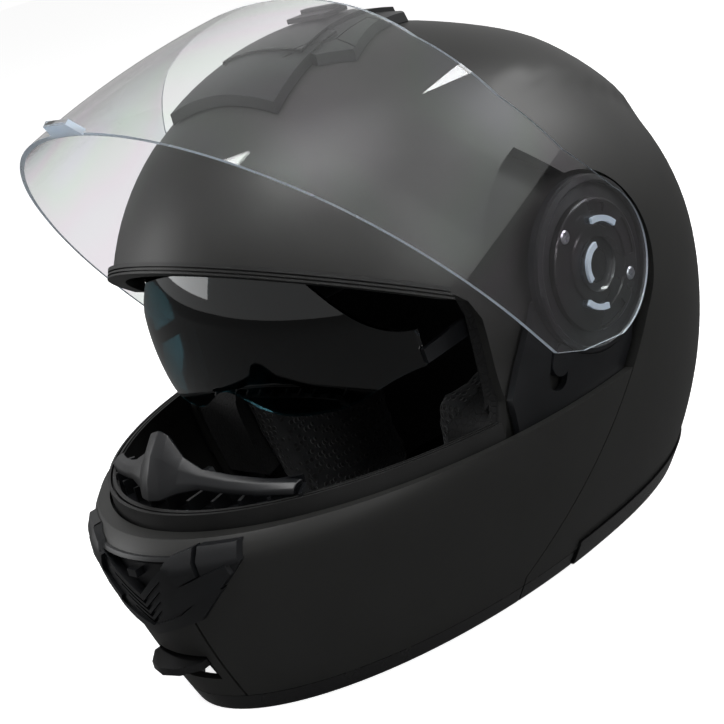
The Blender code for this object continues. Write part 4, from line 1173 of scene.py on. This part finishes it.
def make_duct():
    """The defrost duct behind the gasket: a ledge, its rear wall and a row of upright fins."""
    near = GASKET_DEPTH + GASKET_WALL - 0.2
    half_turn = math.radians(DUCT_HALF_TURN + 2)
    ledge = band(CHIN_TOP_Z, near, DUCT_WIDTH, half_turn, 80, *DUCT_Z)
    join(ledge, band(CHIN_TOP_Z, near + DUCT_WIDTH - 1.5, 1.5, half_turn, 80, DUCT_Z[0], DUCT_BACK_Z))
    long, thin = FIN_HALF
    corners = [(x, y, z) for x in (-long, long) for y in (-thin, thin) for z in (0, FIN_HEIGHT)]
    fin = mesh_object("fin", corners,
                      [(0, 1, 3, 2), (4, 6, 7, 5), (0, 4, 5, 1), (2, 3, 7, 6), (0, 2, 6, 4), (1, 5, 7, 3)])
    reach = SECTION_Y - wall_point(0, CHIN_TOP_Z, near + long)[1]
    fins = repeated(fin, arc_tree("duct_fins", GRAINED_ABS), Count=FIN_COUNT, Radius=DUCT_RADIUS * MM,
                    Start=math.radians(-90 - DUCT_HALF_TURN), Sweep=math.radians(2 * DUCT_HALF_TURN),
                    Centre=(0, (SECTION_Y - reach + DUCT_RADIUS) * MM, (DUCT_Z[1] - 0.1) * MM))
    return ledge, fix_outward(fins)


VENT_PLATES = [     # height over the shell and the outline of each raised facet, right-hand ones mirrored
    (3.6, [(25, 88), (35, 91), (36, 79), (26, 75), (21, 84)]),
    (2.8, [(36.5, 91), (52, 91), (53, 83), (37.5, 78.6)]),
    (3.2, [(26, 74), (36.4, 78.4), (48, 82.5), (49, 78), (44, 72.5), (20, 60.5), (17, 64)]),
    (2.6, [(-0.01, 47), (29, 56.5), (43.5, 71.5), (40, 72), (20, 59), (-0.01, 52)])]


def make_vent_surround():
    """Frame of the chin vent: raised facets beside its mouth and V-shaped louvres under it."""
    surround = meet(cut(body(-1.4), body(-GAP)), prism(VENT, *FRONT_Y, "Y"))
    join(surround, meet(cut(body(-1), body(WALL - 1)), prism(scaled(VENT, 0.88), *FRONT_Y, "Y")))
    for height, outline in VENT_PLATES:
        for side in (-1, 1):
            plate = prism([(side * x, z) for x, z in outline], *FRONT_Y, "Y")
            join(surround, meet(cut(body(-height), body(-GAP)), plate))
    cut(surround, prism([(-23, 85.5), (23, 85.5), (0, 68)], *FRONT_Y, "Y"))
    for i in range(4):
        z = 64.6 - 3.6 * i
        wide = 15.5 - 2.2 * i
        rise = wide * 0.74
        fin = [(-wide, z + rise), (0, z), (wide, z + rise), (wide + 1.0, z + rise - 0.8), (0, z - 1.7),
               (-wide - 1.0, z + rise - 0.8)]
        cut(surround, meet(cut(body(-6), body(0.2)), prism(fin, *FRONT_Y, "Y")))
    return surround


def top_vent_pieces():
    """The crown's air scoop and its slider."""
    place(make_top_scoop(), "top_vent_scoop", GRAINED_ABS, "black_plastic", "top_vent_housing",
          normal_at=form_normal)
    place(make_top_switch(), "top_vent_slider", GRAINED_ABS, "black_plastic", "top_vent_switch")


def frustum(outline, low, high, shrink, axis):
    """A prism whose far end is drawn in towards its middle, so that its sides slope."""
    solid = prism(outline, low, high, axis)
    n = len(outline)
    far = [v for v in solid.data.vertices][n:]
    middle = sum((v.co for v in far), Vector()) / n
    for v in far:
        v.co = middle + (v.co - middle) * shrink
    return solid


SCOOP_WING_RISE = 4.4
SCOOP_MOUTH_RISE = 5.3
SCOOP_LINE_HALF = 0.35      # half width of a facet line
SCOOP_CREST = [(-31, -43), (31, -43), (25, -12), (20, 40), (-20, 40), (-25, -12)]
SCOOP_MOUTH = [(-36, -70), (36, -70), (28, -16), (-28, -16)]
SCOOP_LINES = [((20, -44), (33, -22)), ((33, -22), (52, -26)), ((33, -22), (27, 6)), ((27, 6), (40, 4))]


def make_top_scoop():
    """The crown's air scoop: two low wings, a raised crest with an open mouth, and facet lines."""
    scoop = meet(cut(body(-SCOOP_WING_RISE), body(-GAP)), frustum(TOP_VENT, 236, 280, 0.78, "Z"))
    join(scoop, meet(cut(body(-TOP_VENT_RISE), body(-GAP)), frustum(SCOOP_CREST, 236, 280, 0.8, "Z")))
    cut(scoop, meet(cut(body(-SCOOP_MOUTH_RISE), body(-GAP - 0.5)), prism(SCOOP_MOUTH, 200, 300, "Z")))
    for (x0, y0), (x1, y1) in SCOOP_LINES:
        width = SCOOP_LINE_HALF / math.hypot(x1 - x0, y1 - y0)
        ox, oy = (y1 - y0) * width, -(x1 - x0) * width
        for side in (-1, 1):
            line = [(side * (x0 + ox), y0 + oy), (side * (x1 + ox), y1 + oy),
                    (side * (x1 - ox), y1 - oy), (side * (x0 - ox), y0 - oy)]
            cut(scoop, meet(cut(body(-9), body(-3.8)), prism(line, 200, 300, "Z")))
    return without_offcuts(scoop)


def make_rear_exhaust():
    """The rear outlet: a cover with sloping sides over two dark slots."""
    cover = meet(cut(body(-5.5), body(-GAP)), frustum(REAR_VENT, 138, 178, 0.6, "Y"))
    for x in (-9, 9):
        cut(cover, prism([(x - 7, 157), (x + 7, 157), (x + 5.5, 163), (x - 5.5, 163)], 40, 220, "Y"))
    return cover


LUGS = ((20, 88, 137), (18.5, 274, 318), (9.5, -27, 84))    # radius, first and last angle of each
LUG_HALF_WIDTH = 1.3
EDGE_FACING = 0.5           # faces turned further than this from the sheet are its milled edge
EDGE_CLEAR_OF_BOSS = 16     # radius round the hinge inside which nothing is an edge


def visor_pieces():
    """The clear visor with its milled edge and its locking lugs, and the sun visor."""
    visor = make_visor()
    tidy_mesh(visor)
    dress(visor, CLEAR_PC, MILLED_EDGE)
    for face in visor.data.polygons:
        spot = face.center / MM
        reach = math.hypot(spot.y - PIVOT[0], spot.z - PIVOT[1])
        if abs(visor_normal(spot).dot(face.normal)) < EDGE_FACING and reach > EDGE_CLEAR_OF_BOSS:
            face.material_index = 1
    place(visor, "visor_clear", CLEAR_PC, "clear_sheet", "clear_visor", normal_at=visor_normal)
    lugs = None
    for radius, start, end in LUGS:
        outer = arc(PIVOT, radius + LUG_HALF_WIDTH, start, end, 20)
        inner = arc(PIVOT, radius - LUG_HALF_WIDTH, start, end, 20)
        lug = side_prism(outer + list(reversed(inner)), VISOR_HALF_WIDTH - 0.6, VISOR_HALF_WIDTH + 1.1)
        lugs = lug if lugs is None else join(lugs, lug)
    place_pair(lugs, "visor_lugs", MILLED_EDGE, "clear_sheet", body="visor")
    place(make_sun_visor(), "visor_smoke", SMOKE_PC, "smoke_sheet", "sun_visor")


PLATE_SLOTS = ((70, 120), (150, 190), (240, 300))   # first and last angle of each arc slot
PLATE_SLOT_RADII = (23.4, 27)
SCREW_SHANK_RADIUS = 1.6
CROSS_HALF = (0.35, 2.0)    # half width and half length of the cross recess


def hub_pieces():
    """Hinge arm, visor mechanism and screws, both sides, and the chin lock's knob."""
    arm = make_arm()
    hub_x = ARM_X[1]
    ring = lathe([(hub_x - 1, 35.6), (hub_x + 2.0, 35.8), (hub_x + 2.6, 36.6), (hub_x + 2.6, 38.2),
                  (hub_x + 1.8, 39.0), (hub_x - 1, 39.2)])
    join(arm, ring)
    place_pair(arm, "hinge_arm_cover", GRAINED_ABS, "black_plastic", "hinge_arm", normal_at=form_normal)
    x0, x1 = PLATE_X
    plate = lathe([(x0, VISOR_BOSS_RADIUS + GAP), (x1, VISOR_BOSS_RADIUS + GAP), (x1, 17), (x1 - 0.8, 17.4),
                   (x1 - 0.8, 20.2), (x1, 20.6), (x1, 28.4), (x1 - 0.5, 29.2), (x0, 29.5)])
    for angle in SCREW_ANGLES:
        cut(plate, rod(HEAD_RADIUS + GAP, 100, 140, screw_place(angle), 32))
    for start, end in PLATE_SLOTS:
        outer = arc(PIVOT, PLATE_SLOT_RADII[1], start, end, 24)
        inner = arc(PIVOT, PLATE_SLOT_RADII[0], start, end, 24)
        cut(plate, side_prism(outer + list(reversed(inner)), x1 - 0.9, x1 + 2))
    place_pair(plate, "visor_mechanism_cover", GLOSS_ABS, "black_plastic", "visor_mechanism")
    for label, angle in zip(("front", "rear"), SCREW_ANGLES):
        spot = screw_place(angle)
        top = PLATE_X[1] + 0.3
        foot, shank = ARM_X[1] + GAP, SCREW_SHANK_RADIUS
        screw = lathe([(foot, 0.01), (foot, shank), (top - 1.4, shank), (top - 1.4, HEAD_RADIUS),
                       (top - 0.5, HEAD_RADIUS), (top, HEAD_RADIUS - 0.6), (top, 0.01)], 48, spot)
        for a, b in ((CROSS_HALF[0], CROSS_HALF[1]), (CROSS_HALF[1], CROSS_HALF[0])):
            cut(screw, slab((top - 0.8, top + 1), (spot[0] - a, spot[0] + a), (spot[1] - b, spot[1] + b)))
        place_pair(screw, f"visor_screw_{label}_steel", ZINC, "steel", f"visor_screw_{label}")
    place(make_lock_slider(), "chin_lock_knob", GRAINED_ABS, "black_plastic", "chin_lock_slider",
          normal_at=form_normal)


def lining_pieces():
    """Impact foam, crown lining and cheek cushions."""
    place(make_impact_liner(), "impact_foam_liner", FOAM, "impact_foam", "impact_liner", crease=40)
    crown = make_crown_liner()
    place(swollen(crown, 5, 2.0, 0.6), "crown_lining", JERSEY, "liner_fabric", "crown_liner", crease=60)
    pad = make_cheek_pad()
    tidy_mesh(pad)
    swollen(pad, 4, 4.0, 1.4)
    for cushion in place_pair(pad, "cheek_cushion", PAD_MESH, "liner_fabric", "cheek_pad", crease=60):
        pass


def eased(route, steps):
    """Points on a smooth curve through a route that ends level, heading for the middle."""
    stops = [route[0] * 2 - route[1]] + route + [route[-1] + Vector((-20, 0, 0))]
    points = []
    for a, b, c, d in zip(stops, stops[1:], stops[2:], stops[3:]):
        for t in (k / steps for k in range(steps)):
            points.append((b * 2 + (c - a) * t + (a * 2 - b * 5 + c * 4 - d) * t * t
                           + (b * 3 - a - c * 3 + d) * t ** 3) / 2)
    return points + [route[-1]]


def make_webbing(name):
    """One chin strap, flat side up, its route smoothed and its two long edges rounded."""
    route = eased([Vector(p) for p in STRAP_ROUTE], 10)
    last = len(route) - 1
    edge, reach = STRAP_THICK / 2, STRAP_WIDTH / 2 - STRAP_THICK / 2
    section = [(side * (reach + edge * math.cos(turn)), side * edge * math.sin(turn))
               for side in (1, -1) for turn in (math.radians(a) for a in range(-90, 91, 30))]
    count = len(section)
    points = []
    for i, p in enumerate(route):
        along = (route[min(i + 1, last)] - route[max(i - 1, 0)]).normalized()
        side = Vector((0, 0, 1)).cross(along).normalized()
        up = along.cross(side)
        points += [p + side * u + up * v for u, v in section]
    faces = [(a + k, a + (k + 1) % count, a + count + (k + 1) % count, a + count + k)
             for a in range(0, count * last, count) for k in range(count)]
    faces += [tuple(range(count)), tuple(count * last + k for k in reversed(range(count)))]
    return fix_outward(mesh_object(name, [tuple(p) for p in points], faces))


KEPT_FINISHES = {
    "pivot_pin": GLOSS_ABS, "sun_visor_pin": ZINC, "sun_visor_arm": GRAINED_ABS, "latch_striker": ZINC,
    "latch_hook": ZINC, "hook_pin": ZINC, "strap_rivet": ZINC, "buckle_body": GRAINED_ABS,
    "buckle_lever": ZINC, "ratchet_tongue": GLOSS_ABS, "sun_visor_lever": GRAINED_ABS,
}


def kept_nodes():
    """The frame's own pieces that show as they are take a real finish."""
    for name, obj in frame["nodes"].items():
        for key, finish in KEPT_FINISHES.items():
            if name.startswith(key) and not obj.hide_render:
                obj.data.materials.clear()
                obj.data.materials.append(finish)


# ---- stage, lamps and camera ---------------------------------------------------------------------
GLOSSY_SHARE = 0.1          # how bright the white backdrop is in reflections
SKY_IN_GLOSS = 0.28         # extra sky in reflections
SKY_LEVEL = 0.12            # light of the sky on the object
FLOOR_GLOW = 0.86           # brightness of the floor as the camera sees it
FLOOR_HALF = 6000
LAMPS = [       # name, place, what it points at, width and height, watts
    ("overhead_softbox", (250, -350, 1600), (0, 20, 180), (1000, 800), 20),
    ("left_softbox", (1500, -300, 900), (0, 0, 130), (500, 900), 7),
    ("rear_softbox", (900, 1200, 1300), (0, 30, 180), (900, 900), 20),
    ("right_fill", (-1500, -900, 700), (0, 0, 130), (900, 900), 7),
]
CAMERA_AT = (540.45, -491.09, 343.78)
CAMERA_AZIMUTH, CAMERA_RISE, CAMERA_ROLL = 47.39, 16.23, -15.33
CAMERA_OFF_AXIS = (-0.00938997, -0.03672948)    # how far the lens looks off that axis, as tangents
LENS = 77.9


def seen_white(tree, path):
    """1 where the camera sees the backdrop, straight or through a clear sheet; a share in reflections."""
    bounces = add(tree, "ShaderNodeMath", {0: path["Diffuse Depth"], 1: path["Glossy Depth"]},
                  operation="ADD")
    straight = add(tree, "ShaderNodeMath", {0: bounces.outputs["Value"], 1: 0.5}, operation="LESS_THAN")
    through = add(tree, "ShaderNodeMath", {0: path["Is Transmission Ray"], 1: straight.outputs["Value"]},
                  operation="MULTIPLY")
    seen = add(tree, "ShaderNodeMath", {0: path["Is Camera Ray"], 1: through.outputs["Value"]},
               operation="MAXIMUM")
    return add(tree, "ShaderNodeMath", {0: path["Is Glossy Ray"], 1: GLOSSY_SHARE, 2: seen.outputs["Value"]},
               operation="MULTIPLY_ADD")


def backdrop(name, strength):
    """White to the camera and through the clear sheets, dark in reflections; it still takes a shadow."""
    made, tree, shader = material(name, "#e6e6e6", 0.9)
    shader.inputs["Specular IOR Level"].default_value = 0.0
    path = add(tree, "ShaderNodeLightPath").outputs
    seen = seen_white(tree, path)
    glow = add(tree, "ShaderNodeMath", {0: seen.outputs["Value"], 1: strength}, operation="MULTIPLY")
    lit = add(tree, "ShaderNodeMix", {"Factor": path["Is Glossy Ray"], "A": srgb("#e6e6e6"),
                                      "B": srgb("#3a3a3a")}, data_type="RGBA")
    tree.links.new(lit.outputs["Result"], shader.inputs["Base Color"])
    shader.inputs["Emission Color"].default_value = (1, 1, 1, 1)
    tree.links.new(glow.outputs["Value"], shader.inputs["Emission Strength"])
    return made


def stage():
    """Floor, sky and lamps."""
    corners = [(x * FLOOR_HALF, y * FLOOR_HALF, -0.5) for x, y in ((-1, -1), (1, -1), (1, 1), (-1, 1))]
    floor = mesh_object("floor", corners, [(0, 1, 2, 3)])
    dress(floor, backdrop("pale_floor", FLOOR_GLOW))
    world = bpy.data.worlds.new("studio")
    bpy.context.scene.world = world
    world.use_nodes = True
    tree = world.node_tree
    ground = next(n for n in tree.nodes if n.type == "BACKGROUND")
    path = add(tree, "ShaderNodeLightPath").outputs
    seen = seen_white(tree, path)
    level = add(tree, "ShaderNodeMapRange", {"Value": seen.outputs["Value"], "To Min": SKY_LEVEL,
                                             "To Max": 1.0})
    above = add(tree, "ShaderNodeMath", {0: path["Is Glossy Ray"], 1: SKY_IN_GLOSS,
                                         2: level.outputs["Result"]}, operation="MULTIPLY_ADD")
    ground.inputs["Color"].default_value = (1, 1, 1, 1)
    tree.links.new(above.outputs["Value"], ground.inputs["Strength"])
    for name, place_, target, size, power in LAMPS:
        data = bpy.data.lights.new(name, "AREA")
        data.shape, data.size, data.size_y, data.energy = "RECTANGLE", size[0] * MM, size[1] * MM, power
        lamp = bpy.data.objects.new(name, data)
        bpy.context.scene.collection.objects.link(lamp)
        lamp.location = Vector(place_) * MM
        aim = (Vector(target) - Vector(place_)).to_track_quat("-Z", "Y")
        lamp.rotation_mode, lamp.rotation_quaternion = "QUATERNION", aim


def camera():
    """Sets the camera from its place, the direction it looks from, its roll and its lens."""
    a, e, r = (math.radians(v) for v in (CAMERA_AZIMUTH, CAMERA_RISE, CAMERA_ROLL))
    back = Vector((math.sin(a) * math.cos(e), -math.cos(a) * math.cos(e), math.sin(e)))
    right = Vector((math.cos(a), math.sin(a), 0))
    up = back.cross(right)
    across = right * math.cos(r) + up * math.sin(r)
    over = up * math.cos(r) - right * math.sin(r)
    view = (across * CAMERA_OFF_AXIS[0] + over * CAMERA_OFF_AXIS[1] - back).normalized()
    side = view.cross(over).normalized()
    top = side.cross(view)
    data = bpy.data.cameras.new("camera")
    data.lens, data.sensor_width = LENS, 36
    data.clip_start = 0.01
    eye = bpy.data.objects.new("camera", data)
    bpy.context.scene.collection.objects.link(eye)
    turn = Matrix((side, top, -view)).transposed().to_4x4()
    eye.matrix_world = Matrix.Translation(Vector(CAMERA_AT) * MM) @ turn
    bpy.context.scene.camera = eye


def main():
    scene = bpy.context.scene
    scene.view_settings.view_transform = "Standard"
    camera()
    stage()
    shell_pieces()
    chin_pieces()
    top_vent_pieces()
    visor_pieces()
    hub_pieces()
    lining_pieces()
    place_pair(make_webbing("webbing"), "webbing", WEBBING, "webbing", "chin_strap", crease=50)
    kept_nodes()
    bpy.context.view_layer.update()


main()
